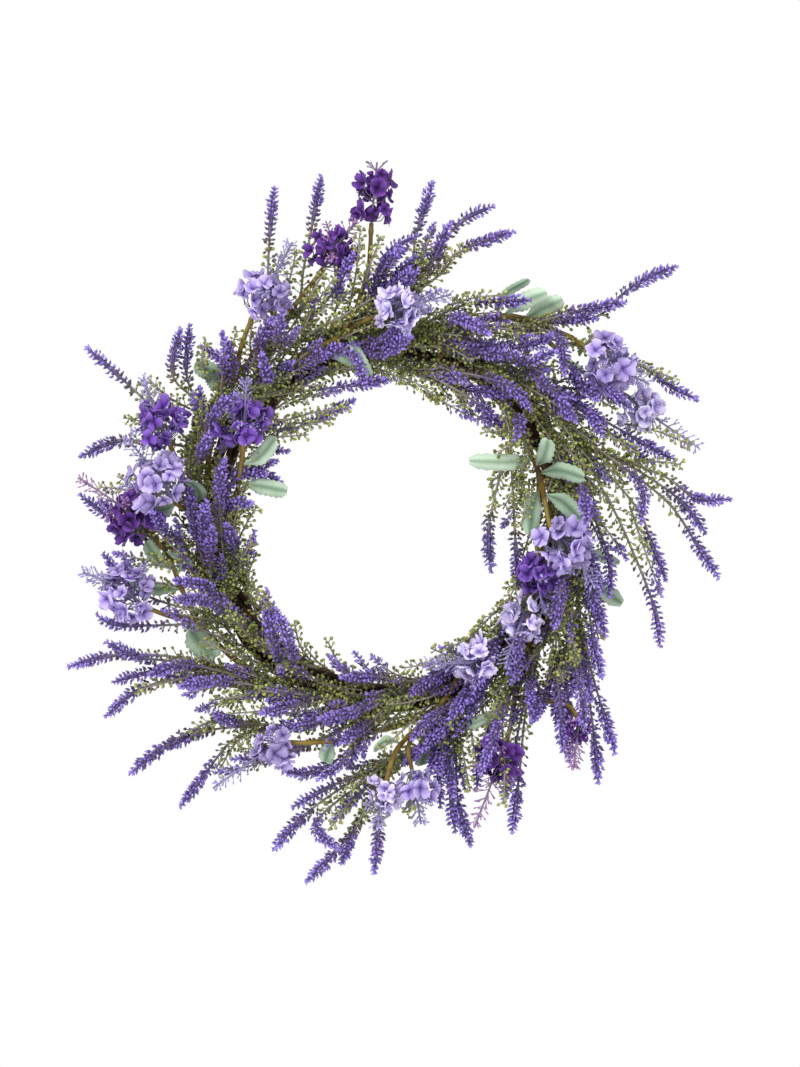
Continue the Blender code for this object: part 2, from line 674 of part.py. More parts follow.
class Loft:
    """A closed skin over rings of points, which may change their number of points from ring to ring."""

    def __init__(self):
        self.points, self.faces, self.last = [], [], None

    def ring(self, points):
        first = len(self.points)
        self.points.extend(points)
        ring = list(range(first, first + len(points)))
        if self.last is None:
            self.faces += [[ring[0], b, a] for a, b in zip(ring[1:], ring[2:])]
        else:
            self.bridge(self.last, ring)
        self.last = ring

    def bridge(self, lower, upper):
        """Triangles between two rings, taken round in step with each ring's share of the turn."""
        a = b = 0
        while a < len(lower) or b < len(upper):
            low, high = lower[a % len(lower)], upper[b % len(upper)]
            if b == len(upper) or (a < len(lower) and (a + 0.5) / len(lower) <= (b + 0.5) / len(upper)):
                self.faces.append([low, lower[(a + 1) % len(lower)], high])
                a += 1
            else:
                self.faces.append([low, upper[(b + 1) % len(upper)], high])
                b += 1

    def pole(self, point):
        self.points.append(point)
        top = len(self.points) - 1
        ring = self.last
        self.faces += [[ring[i], ring[(i + 1) % len(ring)], top] for i in range(len(ring))]

    def close(self):
        ring = self.last
        self.faces += [[ring[0], a, b] for a, b in zip(ring[1:], ring[2:])]

    def solid(self):
        return np.array(self.points), self.faces


def circle_at(centre, side, up, radii, start=0.0):
    turns = start + 2 * math.pi * np.arange(len(radii)) / len(radii)
    return [centre + radius * (math.cos(turn) * side + math.sin(turn) * up)
            for turn, radius in zip(turns, radii)]


def read_path(path, distance):
    """Point and frame of a path at a distance along it."""
    along, side, up = frames_along(path)
    run = lengths_of(path)

    def at(values):
        return np.array([np.interp(distance, run, values[:, axis]) for axis in range(3)])

    return at(path), unit(at(along)), unit(at(side)), unit(at(up))


def tube(path, radii, corners=4, stations=None):
    """A tube along a path with closed ends, with rings only at the stations it needs."""
    run = lengths_of(path)
    stations = np.linspace(0, run[-1], len(radii)) if stations is None else stations
    loft = Loft()
    for distance, radius in zip(stations, radii):
        centre, _, side, up = read_path(path, distance)
        loft.ring(circle_at(centre, side, up, [radius] * corners))
    loft.close()
    return loft.solid()


def bend_stations(path):
    """Distances along a path to the few points that keep a straight-sided tube close to it."""
    kept = {0, len(path) - 1}
    spans = [(0, len(path) - 1)]
    while spans:
        first, last = spans.pop()
        if last - first < 2:
            continue
        chord = path[last] - path[first]
        away = path[first + 1:last] - path[first]
        share = np.clip(away @ chord / max(1e-9, chord @ chord), 0, 1)
        gap = np.linalg.norm(away - share[:, None] * chord, axis=1)
        if gap.max() > BEND_SLACK:
            bend = first + 1 + int(gap.argmax())
            kept.add(bend)
            spans += [(first, bend), (bend, last)]
    return lengths_of(path)[sorted(kept)]


def trunk_tube(path, radius, seated):
    """A foot that lies on the ring up to its last seated point, then runs to the fork."""
    run = lengths_of(path)
    stations = np.concatenate([[0], run[seated] + bend_stations(path[seated:])])
    return tube(path, [radius] * len(stations), 4, stations)


def lavender_spike(path, rng):
    """A stem with flared whorls of buds, then a dense head raised in staggered buds up to its tip."""
    total = lengths_of(path)[-1]
    dense = min(DENSE_LENGTH, DENSE_SHARE * total)
    budded = min(BUDDED_LENGTH, total - BARE_LEAST)
    whorls = np.arange(dense + 0.7 * WHORL_STEP, budded, WHORL_STEP)[::-1]
    loft = Loft()
    turn = rng.uniform(0, 2 * math.pi)

    def ring(to_tip, radii, twist=0.0):
        centre, _, side, up = read_path(path, total - to_tip)
        loft.ring(circle_at(centre, side, up, radii, turn + twist))

    first_bud = whorls[0] if len(whorls) else dense
    bare = path[lengths_of(path) < total - first_bud - BARE_LEAST]
    for distance in bend_stations(bare)[:-1] if len(bare) > 1 else [0]:
        ring(total - distance, [STEM_RADIUS if distance else 0.7 * STEM_RADIUS] * 3)
    for index, to_tip in enumerate(whorls):
        ring(to_tip + WHORL_FLARE, [STEM_RADIUS] * 3, index)
        ring(to_tip, [WHORL_RADIUS * rng.uniform(0.85, 1.0) for _ in range(3)], index)
    ring(dense + 0.5 * WHORL_FLARE, [STEM_RADIUS] * 3, len(whorls))
    outer = math.hypot(path[-1][0], path[-1][2]) > OUTER_TIPS
    rows = max(3, round(dense / (DENSE_STEP if outer else INNER_DENSE_STEP)) + 1)
    for row, to_tip in enumerate(np.linspace(dense, TIP_ROW, rows)):
        full = SPIKE_RADIUS * min(1.0, 0.5 + to_tip / TAPER_LENGTH)
        buds = [full * (1.0 if (row + column) % 2 else BUD_HOLLOW) for column in range(DENSE_COLUMNS)]
        ring(to_tip, buds, 0.5 * row)
    loft.pole(path[-1])
    return loft.solid()


def leaf_blade(path, width):
    """A leaf with a toothed edge and a creased rib, on a short stalk from its stem."""
    total = lengths_of(path)[-1]
    stalk = min(LEAF_STALK, 0.2 * total)
    loft = Loft()
    stations = [(0.0, 0.06), (stalk, 0.14)]
    for tooth in range(LEAF_TEETH):
        share = (tooth + 0.55) / LEAF_TEETH
        full = math.sin(math.pi * min(1.0, 0.18 + 0.74 * share)) ** 0.7
        stations.append((stalk + (total - stalk) * share, full))
        if tooth < LEAF_TEETH - 1:
            notch = share + 0.16 / LEAF_TEETH
            stations.append((stalk + (total - stalk) * notch, LEAF_NOTCH * full))
    across = unit(np.cross(path[-1] - path[0], [0.0, -1.0, 0.0]))
    for distance, share in stations:
        centre, along, _, _ = read_path(path, distance)
        front = unit(np.cross(across, along))
        half = max(0.9, 0.5 * width * share)
        thick = 0.5 * LEAF_THICKNESS
        crease = min(thick, 0.16 * half)
        loft.ring([centre + half * across - crease * front, centre + thick * front,
                   centre - half * across - crease * front])
    loft.pole(path[-1])
    return loft.solid()


def floret(centre, facing, radius, height, spin, root):
    """A cupped star of petals on a cone that tapers down into the head."""
    side = unit(np.cross(facing, [0.3, 0.5, 0.81]))
    up = np.cross(facing, side)
    rim = []
    for corner in range(2 * PETAL_COUNT):
        turn = spin + math.pi * corner / PETAL_COUNT
        petal = corner % 2 == 0
        reach = radius if petal else PETAL_NOTCH * radius
        rise = height if petal else height - PETAL_CUP * radius
        rim.append(centre + rise * facing + reach * (math.cos(turn) * side + math.sin(turn) * up))
    loft = Loft()
    throat = centre + (height - THROAT_DEPTH * radius) * facing
    base = centre + root * facing
    points = rim + [throat, base]
    count = len(rim)
    faces = [[i, (i + 1) % count, count] for i in range(count)]
    faces += [[(i + 1) % count, i, count + 1] for i in range(count)]
    loft.points, loft.faces = points, faces
    return loft.solid()


def blossom_parts(name, path, rng):
    """A head of florets on a slim core that runs on into a budded plastic tip."""
    radius = BLOSSOMS[name][1]
    total = lengths_of(path)[-1]
    head = min(total - 12, HEAD_SHARE * radius)
    tiers = BLOSSOM_TIERS.get(name)
    slim = TIER_CORE if tiers else CORE_SHARE * radius
    if tiers:
        head = tiers[-1][0] + 3
    stations = [0.9, 0.55 * head, head]
    radii = [2.0, slim, TIP_RADIUS]
    tip = total - head
    for share, swell in ((0.4, 1.5), (0.7, 0.7)):
        stations.append(head + share * tip)
        radii.append(TIP_RADIUS * swell)
    loft = Loft()
    for distance, reach in zip(stations, radii):
        centre, _, side, up = read_path(path, distance)
        loft.ring(circle_at(centre, side, up, [reach] * (4 if distance < head else 3)))
    loft.pole(path[-1])
    parts = [loft.solid()]
    if tiers:
        rows = [(distance, 0.25, count, reach) for distance, reach, count in tiers]
    else:
        plan = next(plan for least, plan in FLORET_ROWS if radius > least)
        rows = [(0.5 * HEAD_SHARE * radius, slope, count, radius) for slope, count in plan]
    spin = rng.uniform(0, 2 * math.pi)
    for row, (distance, slope, count, reach) in enumerate(rows):
        centre, along, side, up = read_path(path, min(distance, total))
        for index in range(count):
            turn = spin + 2 * math.pi * (index + 0.5 * (row % 2)) / count
            level = math.sqrt(1 - slope ** 2)
            root = 0.45 * slim if tiers else 0.2 * reach
            facing = slope * along + level * (math.cos(turn) * side + math.sin(turn) * up)
            size = min(FLORET_RADIUS, 0.58 * reach) * rng.uniform(0.92, 1.05)
            parts.append(floret(centre, facing, size, reach - 0.6, rng.uniform(0, 1.2), root))
    return parts


def vine_cane(cane):
    """One cane of the rope, closed on itself, with knobs only on its outer side."""
    rng = random.Random(400 + cane)
    points, faces = [], []
    corners = len(CANE_CORNERS)
    for segment in range(CANE_SEGMENTS):
        angle = 2 * math.pi * segment / CANE_SEGMENTS
        centre, outward, forward = ring_frame(angle)
        phase = 2 * math.pi * cane / CANE_COUNT + CANE_TWISTS * angle
        middle = cane_point(cane, angle)
        knob = CANE_KNOB * rng.random() if segment % 3 else 0.0
        for corner in CANE_CORNERS:
            turn = phase + math.radians(corner)
            reach = CANE_RADIUS + (knob if corner in (62, 298) else 0.0)
            points.append(middle + reach * (math.cos(turn) * outward + math.sin(turn) * forward))
    for segment in range(CANE_SEGMENTS):
        here = segment * corners
        there = (segment + 1) % CANE_SEGMENTS * corners
        for corner in range(corners):
            beside = (corner + 1) % corners
            faces.append([here + corner, there + corner, there + beside, here + beside])
    return np.array(points), faces


def material(name, colour, roughness):
    found = bpy.data.materials.get(name)
    if found:
        return found
    made = bpy.data.materials.new(name)
    made.use_nodes = True
    shader = made.node_tree.nodes["Principled BSDF"]
    shader.inputs["Base Color"].default_value = (*colour, 1.0)
    shader.inputs["Roughness"].default_value = roughness
    shader.inputs["Metallic"].default_value = 0.0
    made.diffuse_color = (*colour, 1.0)
    return made


def mesh_object(name, solid, collection):
    points, faces = solid
    world = np.array(points) * MM
    world[:, 2] += CENTRE_Z * MM
    mesh = bpy.data.meshes.new(name)
    mesh.from_pydata([tuple(point) for point in world], [], faces)
    body = bmesh.new()
    body.from_mesh(mesh)
    bmesh.ops.recalc_face_normals(body, faces=body.faces)
    if body.calc_volume(signed=True) < 0:
        bmesh.ops.reverse_faces(body, faces=body.faces)
    body.to_mesh(mesh)
    body.free()
    made = bpy.data.objects.new(name, mesh)
    collection.objects.link(made)
    return made


def is_closed(mesh):
    body = bmesh.new()
    body.from_mesh(mesh)
    closed = len(body.faces) > 0 and all(edge.is_manifold for edge in body.edges)
    body.free()
    return closed


def keep_main_body(mesh):
    """Drops loose scraps and fills sealed hollows: only the skin with the most volume stays."""
    body = bmesh.new()
    body.from_mesh(mesh)
    bmesh.ops.triangulate(body, faces=body.faces)
    left = set(body.faces)
    skins = []
    while left:
        skin, edge_of = set(), [left.pop()]
        while edge_of:
            face = edge_of.pop()
            skin.add(face)
            for edge in face.edges:
                for beside in edge.link_faces:
                    if beside in left:
                        left.discard(beside)
                        edge_of.append(beside)
        volume = sum(face.verts[0].co.dot(face.verts[1].co.cross(face.verts[2].co)) for face in skin)
        skins.append((volume, skin))
    skins.sort(key=lambda found: found[0])
    scraps = [face for _, skin in skins[:-1] for face in skin]
    bmesh.ops.delete(body, geom=scraps, context="FACES")
    body.to_mesh(mesh)
    body.free()


def fuse(name, solids, look):
    """One closed body from overlapping solids, by one Boolean union on a collection."""
    scene = bpy.context.scene.collection
    base = mesh_object(name, solids[0], scene)
    if len(solids) > 1:
        repeats = bpy.data.collections.new(name + "_repeats")
        scene.children.link(repeats)
        for index, solid in enumerate(solids[1:]):
            mesh_object(f"{name}_repeat_{index}", solid, repeats)
        union = base.modifiers.new("Union", "BOOLEAN")
        union.operation = "UNION"
        union.operand_type = "COLLECTION"
        union.collection = repeats
        for solver in ("EXACT", "MANIFOLD"):
            union.solver = solver
            graph = bpy.context.evaluated_depsgraph_get()
            joined = bpy.data.meshes.new_from_object(base.evaluated_get(graph))
            if is_closed(joined):
                break
        base.modifiers.clear()
        base.data = joined
        for repeat in list(repeats.objects):
            bpy.data.objects.remove(repeat)
        bpy.data.collections.remove(repeats)
    keep_main_body(base.data)
    base.data.name = name
    base.data.materials.clear()
    base.data.materials.append(look)
    base.data.shade_smooth()
    base.data.set_sharp_from_angle(angle=math.radians(40))
    return base


def clear_scene():
    for left in list(bpy.data.objects):
        bpy.data.objects.remove(left)


def build_ring():
    for cane in range(CANE_COUNT):
        bark = material("vine_bark", (0.055, 0.03, 0.02), 0.8)
        fuse(f"vine_cane_{cane + 1}", [vine_cane(cane)], bark)


def build_sprays(paths, seated):
    violet = material("lavender_plastic", (0.13, 0.09, 0.46), 0.5)
    for order, (node, (_, spikes)) in enumerate(SPRAYS.items()):
        rng = random.Random(100 + order)
        trunk = paths[node + ".trunk"]
        parts = [trunk_tube(trunk, TRUNK_RADIUS, seated[node])]
        parts += [lavender_spike(paths[f"{node}.spike_{index}"], rng) for index in range(len(spikes))]
        fuse(node, parts, violet)


def build_leafy_stems(paths, seated):
    olive = material("olive_stem", (0.25, 0.35, 0.12), 0.65)
    for node, (_, ways, leaves) in LEAFY_STEMS.items():
        trunk = paths[node + ".trunk"]
        parts = [trunk_tube(trunk, OLIVE_RADIUS, seated[node])]
        for blossom in ways:
            stem = paths[blossom + ".stem"]
            stations = bend_stations(stem)
            parts.append(tube(stem, np.linspace(OLIVE_RADIUS - 0.2, OLIVE_END_RADIUS, len(stations)),
                              4, stations))
        for index, (_, width) in enumerate(leaves):
            settled = paths[f"{node}.leaf_{index}"]
            even = smooth_path([settled[0], settled[len(settled) // 2], settled[-1]])
            parts.append(leaf_blade(even, width))
        fuse(node, parts, olive)


def build_blossoms(paths):
    for order, blossom in enumerate(BLOSSOMS):
        colour = BLOSSOMS[blossom][0]
        rng = random.Random(700 + order)
        look = material("cloth_" + "_".join(f"{round(255 * channel)}" for channel in colour), colour, 0.85)
        fuse(blossom, blossom_parts(blossom, paths[blossom], rng), look)


def main():
    clear_scene()
    layout = lay_out()
    paths = layout.paths()
    build_ring()
    build_sprays(paths, layout.seated)
    build_leafy_stems(paths, layout.seated)
    build_blossoms(paths)


main()
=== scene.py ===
import math
import random

import bmesh
import bpy
import numpy as np
from mathutils import Matrix, Vector


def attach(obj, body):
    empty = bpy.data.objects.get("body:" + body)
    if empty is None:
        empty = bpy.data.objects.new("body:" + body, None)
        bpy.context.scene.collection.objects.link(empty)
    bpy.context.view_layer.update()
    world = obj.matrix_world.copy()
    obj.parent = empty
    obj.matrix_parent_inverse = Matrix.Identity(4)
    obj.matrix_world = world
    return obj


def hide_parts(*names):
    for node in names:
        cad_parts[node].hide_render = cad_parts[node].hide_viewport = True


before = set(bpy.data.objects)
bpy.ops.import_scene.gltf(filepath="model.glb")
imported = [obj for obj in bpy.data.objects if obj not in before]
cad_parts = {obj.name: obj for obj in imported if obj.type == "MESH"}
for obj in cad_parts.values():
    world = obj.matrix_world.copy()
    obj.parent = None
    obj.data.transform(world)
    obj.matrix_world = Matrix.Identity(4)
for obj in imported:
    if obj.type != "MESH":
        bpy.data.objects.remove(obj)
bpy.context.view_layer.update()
print("frame loaded:", len(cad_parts), "solids")

# The wreath's layout, in millimetres: x to the right and z up from its centre, y from the wall at 0 to the
# viewer at -y. It is the solids' own layout, so every bud and petal lands on the stem that carries it.
mm = 0.001
fullTurn = 2 * math.pi
ringRadius = 130.0  # to the middle line of the twisted canes
ringDepth = -13.5
caneRadius = 5.0
caneOrbit = 7.3  # from the ring's middle line to a cane's own
caneCount = 4
caneTwists = 2  # turns that the canes make round each other
caneSegments = 24  # places round the ring where a stem can be seated
bundleRadius = caneOrbit + caneRadius
centreZ = -(ringRadius - bundleRadius)  # the origin is on the inside of the ring's top
trunkRadius = 2.0  # a spray's foot, up to its fork
stemRadius = 1.3
spikeRadius = 5.6  # the dense head of a spike, over its buds
whorlRadius = 4.3  # the looser whorls below it
denseLength = 42.0  # how far down from the tip the head reaches
buddedLength = 82.0  # and how far the whorls do
denseShare = 0.62  # the most of a short spike that is head
bareLeast = 8.0
oliveRadius = 2.7  # a leafy stem
tipRadius = 1.7  # the thin end of a blossom's stem
sprayTurn = math.radians(27)  # how far upstream of its fork a spray is seated
leafyTurn = math.radians(15)
rootBeads = 2.5  # each further spike leaves the foot this many beads lower
rootMost = 13
footSpare = 1.2  # the clearance that a seat is chosen for
footReach = math.radians(5)  # how far a foot lies along its cane
seatGap = 0.3  # between a foot and its cane
pathStep = 3.0  # from one bead of a path to the next
clearance = 0.8  # between the beads of different nodes
wallDepth = -1.0  # no bead passes these two depths
frontDepth = -108.0
forkRise = 9.0  # how far in front of the ring a fork lies
forkSink = 0.08  # and how much it sinks back for each mm off the ring
forkFar = 60.0
tipBack = 28.0  # how far from the wall the rearmost tips are
tipBulge = 34.0  # and how much further those over the ring stand
tipSpread = 18.0  # how unevenly the tips stand
bulgeRadius = 138.0  # where the tips stand furthest forward
bulgeWidth = 100.0
goldenShare = 0.618
headKin = 7  # beads of its stem that a blossom head may touch
settleRounds = 500
pairRounds = 20  # rounds between two searches for close pairs
pairMargin = 6.0
keepOrder = 0.4  # how strongly the bead that starts in front is pushed forward
pushGain = 1.3  # mm that beads are pushed for each mm of room they lack
drawBack = (0.985, 0.998, 0.985)  # what each round leaves of a bead's shift, in x, y and z
drawnShare = 0.8  # of the rounds, in which beads are drawn back to their places
smoothShare = 0.6  # and in which chains are smoothed twice
seatCosts = (12, 4, 5)  # of each mm too close, each place further off, and of facing back
leafForward = 8.0  # how far in front of its stem a leaf's tip stands
leafStalk = 0.25  # the part of a leaf's way that is stalk
leafStalkRadius = 1.2
leafRadius = 0.33  # of its beads, as a share of its width
# Each spray: its fork as (x, z), then its spikes, each from its tip down as (x, z) or (x, z, y)
sprays = {
    "lavender_top_left": ((-80, 140), [
        [(-83, 244), (-87, 205), (-88, 160)],
        [(-49, 253), (-56, 215), (-62, 185), (-66, 160)],
        [(-76, 151, -84), (-79, 132, -74)],
        [(-84, 147, -66), (-94, 128, -58)],
        [(-25, 195, -58), (-45, 160)],
    ]),
    "lavender_left_upright": ((-135, 85), [
        [(-151, 140), (-157, 105)],
        [(-145, 143), (-147, 105)],
        [(-137, 126), (-118, 110)],
        [(-121, 137), (-114, 108)],
    ]),
    "lavender_top_crown": ((20, 165), [
        [(33, 249), (21, 210), (18, 185)],
        [(46, 218), (28, 180)],
        [(78, 230), (60, 223), (47, 212), (35, 195)],
        [(93, 212), (65, 203), (50, 195), (38, 180)],
    ]),
    "lavender_top_middle": ((-20, 148), [
        [(22, 208), (-5, 190)],
        [(21, 193), (-4, 168)],
        [(22, 182), (0, 160)],
        [(17, 133, -78), (-8, 121, -60)],
    ]),
    "lavender_inner_top_left": ((-81, 104), [
        [(-91, 121, -78), (-87, 104, -66)],
        [(-67, 115, -62), (-80, 106)],
        [(-34, 127, -70), (-60, 113)],
        [(-15, 95, -76), (-32, 122, -70)],
        [(5, 103, -52), (-25, 98), (-60, 94)],
        [(-24, 88, -34), (-60, 70), (-82, 66)],
    ]),
    "lavender_inner_top": ((8, 117), [
        [(92, 70, -40), (55, 92)],
        [(103, 78, -60), (80, 100)],
        [(88, 90, -50), (40, 99)],
    ]),
    "lavender_top_right_outer": ((110, 140), [
        [(126, 104, -80), (124, 132, -66)],
        [(154, 147), (130, 147)],
        [(174, 159), (145, 154)],
        [(212, 186), (190, 177), (172, 166), (150, 148)],
        [(228, 88), (205, 100), (178, 118), (140, 130)],
    ]),
    "lavender_top_right": ((38, 140), [
        [(73, 133, -84), (52, 146, -70)],
        [(80, 150), (62, 142)],
        [(104, 160, -50), (58, 158)],
        [(96, 120, -66), (66, 122)],
        [(123, 121, -78), (92, 116)],
    ]),
    "lavender_right_upper": ((118, 96), [
        [(152, 86, -80), (133, 103)],
        [(177, 86), (152, 95)],
        [(136, 71, -70), (120, 86)],
        [(156, 60), (142, 80)],
        [(211, 44), (190, 55), (165, 70)],
    ]),
    "lavender_right_outer": ((150, 50), [
        [(251, 15), (225, 16), (200, 33)],
        [(233, -10), (213, 15), (180, 38)],
        [(243, -43), (228, -20), (208, 10), (182, 32)],
        [(184, -3, -62), (182, 28)],
        [(199, -93), (195, -65), (180, -25), (163, 12)],
        [(204, -45), (192, -15), (180, 12)],
    ]),
    "lavender_right_middle": ((140, 30), [
        [(142, -5, -86), (141, 18, -70)],
        [(161, -57), (160, -25)],
        [(155, -75, -40), (145, -40)],
        [(156, -116), (150, -90), (144, -50)],
        [(133, -79, -30), (128, -40)],
    ]),
    "lavender_inner_right": ((90, 60), [
        [(75, -38), (73, -10), (78, 18)],
        [(95, -50, -50), (92, 0)],
        [(92, 57, -84), (96, 72, -74)],
    ]),
    "lavender_lower_right_outer": ((134, -80), [
        [(123, -150, -34), (124, -110)],
        [(148, -133), (141, -100)],
        [(133, -178), (129, -130)],
        [(154, -193), (152, -165), (145, -115)],
    ]),
    "lavender_lower_right": ((103, -108), [
        [(103, -145, -84), (112, -128)],
        [(103, -138, -66), (104, -120)],
        [(91, -230), (97, -180), (101, -140)],
        [(65, -198, -34), (72, -158, -34)],
    ]),
    "lavender_inner_lower_right": ((86, -78), [
        [(91, -114, -64), (93, -96)],
        [(14, -130, -50), (30, -116, -46), (58, -100, -42)],
        [(58, -133, -60), (76, -108, -42)],
        [(43, -145, -52), (62, -118, -42)],
    ]),
    "lavender_bottom_right": ((48, -140), [
        [(61, -240), (51, -205), (50, -165)],
        [(38, -210), (38, -175)],
        [(47, -200, -70), (44, -165)],
        [(17, -160, -62), (30, -146)],
        [(13, -180, -34), (34, -158)],
    ]),
    "lavender_bottom": ((-8, -182), [
        [(-10, -260), (-7, -225)],
        [(-60, -265), (-45, -250), (-22, -222)],
        [(-34, -250, -60), (-20, -218)],
        [(-84, -241), (-60, -215), (-30, -194)],
        [(-70, -210), (-42, -195)],
        [(-36, -237, -84), (-52, -222, -66), (-34, -204)],
        [(-42, -222, -40), (-20, -200)],
    ]),
    "lavender_bottom_left": ((-14, -140), [
        [(-77, -184, -40), (-55, -184), (-30, -168)],
        [(-93, -140, -70), (-50, -133)],
        [(-83, -152, -56), (-48, -146)],
        [(-115, -175), (-70, -170)],
        [(-35, -162, -72), (-20, -152)],
        [(-50, -143, -82), (-28, -141, -66)],
        [(-35, -115, -62), (-8, -114)],
    ]),
    "lavender_left_lower_fan": ((-98, -150), [
        [(-189, -186), (-165, -167), (-130, -148)],
        [(-163, -168), (-135, -155)],
        [(-153, -211), (-135, -187), (-112, -160)],
        [(-127, -140, -62), (-112, -147)],
    ]),
    "lavender_left_low": ((-100, -112), [
        [(-235, -108), (-205, -100), (-160, -100)],
        [(-206, -89), (-182, -100), (-150, -104)],
        [(-202, -119), (-185, -114), (-145, -108)],
        [(-208, -145), (-185, -126), (-145, -115)],
        [(-173, -112, -72), (-142, -106)],
        [(-165, -113, -50), (-122, -121)],
        [(-150, -120, -84), (-118, -117, -64)],
    ]),
    "lavender_left_lower": ((-108, -74), [
        [(-213, -69), (-200, -76), (-165, -77)],
        [(-209, -24), (-193, -45), (-170, -58), (-135, -68)],
        [(-155, -43, -74), (-130, -50)],
        [(-153, -57, -86), (-128, -60, -68)],
        [(-83, -60, -58), (-88, -84)],
    ]),
    "lavender_left_middle": ((-138, -28), [
        [(-226, 19), (-205, 3), (-175, -15)],
        [(-169, 8, -76), (-158, -12)],
        [(-148, 24, -64), (-143, 0)],
        [(-130, 14, -88), (-133, -6, -70)],
    ]),
    "lavender_inner_left": ((-115, -40), [
        [(-117, -2, -70), (-111, -24)],
        [(-97, -8, -44), (-104, -30)],
        [(-97, 12, -72), (-118, 6)],
        [(-117, 45, -78), (-122, 18, -68)],
        [(-77, 27, -54), (-104, 36), (-124, 12)],
    ]),
    "lavender_left_upper": ((-148, 60), [
        [(-222, 127), (-200, 108), (-172, 82)],
        [(-225, 46), (-195, 58)],
        [(-137, 98, -50), (-138, 74)],
        [(-108, 90, -86), (-124, 76, -74)],
        [(-128, 63, -92), (-132, 52, -80)],
    ]),
}
# Each blossom head: its cloth, its radius, then its root, its middle and its tip as (x, z, y)
blossoms = {
    "blossom_top": ("darkPurple", 14, (-12, 216, -36), (-10, 240, -38), (-8, 262, -38)),
    "blossom_top_front": ("brightLilac", 16, (1, 149, -60), (14, 153, -78), (46, 163, -66)),
    "blossom_top_left_dark": ("darkPurple", 18, (-47, 184, -44), (-38, 198, -50), (-22, 219, -48)),
    "blossom_top_left_pale": ("paleLilac", 19, (-98, 150, -48), (-88, 166, -56), (-70, 203, -42)),
    "blossom_right_pale": ("paleLilac", 20, (149, 121, -46), (164, 111, -56), (190, 98, -52)),
    "blossom_right_outer": ("brightLilac", 15, (176, 90, -40), (187, 80, -44), (228, 53, -36)),
    "blossom_right_front": ("paleLilac", 20, (119, -7, -66), (133, -20, -78), (149, -48, -70)),
    "blossom_right_violet": ("midViolet", 14, (109, -30, -54), (109, -46, -62), (112, -68, -60)),
    "blossom_lower_right": ("brightLilac", 15, (101, -62, -62), (95, -77, -74), (84, -108, -70)),
    "blossom_lower_right_pale": ("brightLilac", 15, (72, -98, -60), (57, -103, -74), (26, -104, -68)),
    "blossom_low_right_dark": ("darkPurple", 16, (85, -166, -48), (78, -184, -58), (63, -224, -50)),
    "blossom_outer_right_dark": ("darkPurple", 9, (138, -145, -58), (137, -155, -66), (135, -180, -60)),
    "blossom_bottom": ("paleLilac", 15, (18, -182, -52), (20, -196, -60), (24, -221, -56)),
    "blossom_bottom_pale": ("brightLilac", 12, (-1, -190, -68), (-4, -203, -76), (-8, -222, -70)),
    "blossom_bottom_left": ("paleLilac", 14, (-75, -162, -58), (-88, -167, -70), (-127, -195, -56)),
    "blossom_left_low": ("paleLilac", 20, (-178, -62, -44), (-193, -49, -50), (-222, -38, -44)),
    "blossom_left_dark": ("darkPurple", 17, (-178, -4, -46), (-195, 11, -52), (-226, 31, -44)),
    "blossom_left_pale": ("paleLilac", 22, (-153, 13, -58), (-165, 32, -70), (-190, 60, -60)),
    "blossom_left_violet": ("midViolet", 17, (-159, 56, -58), (-167, 73, -66), (-178, 104, -52)),
    "blossom_inner_left": ("midViolet", 16, (-105, 60, -62), (-103, 76, -74), (-103, 102, -66)),
}
# A head with open tiers: how far up its stem each is, its radius and its florets
blossomTiers = {"blossom_top": [(9, 13, 4), (24, 13, 4), (35, 10, 3)]}
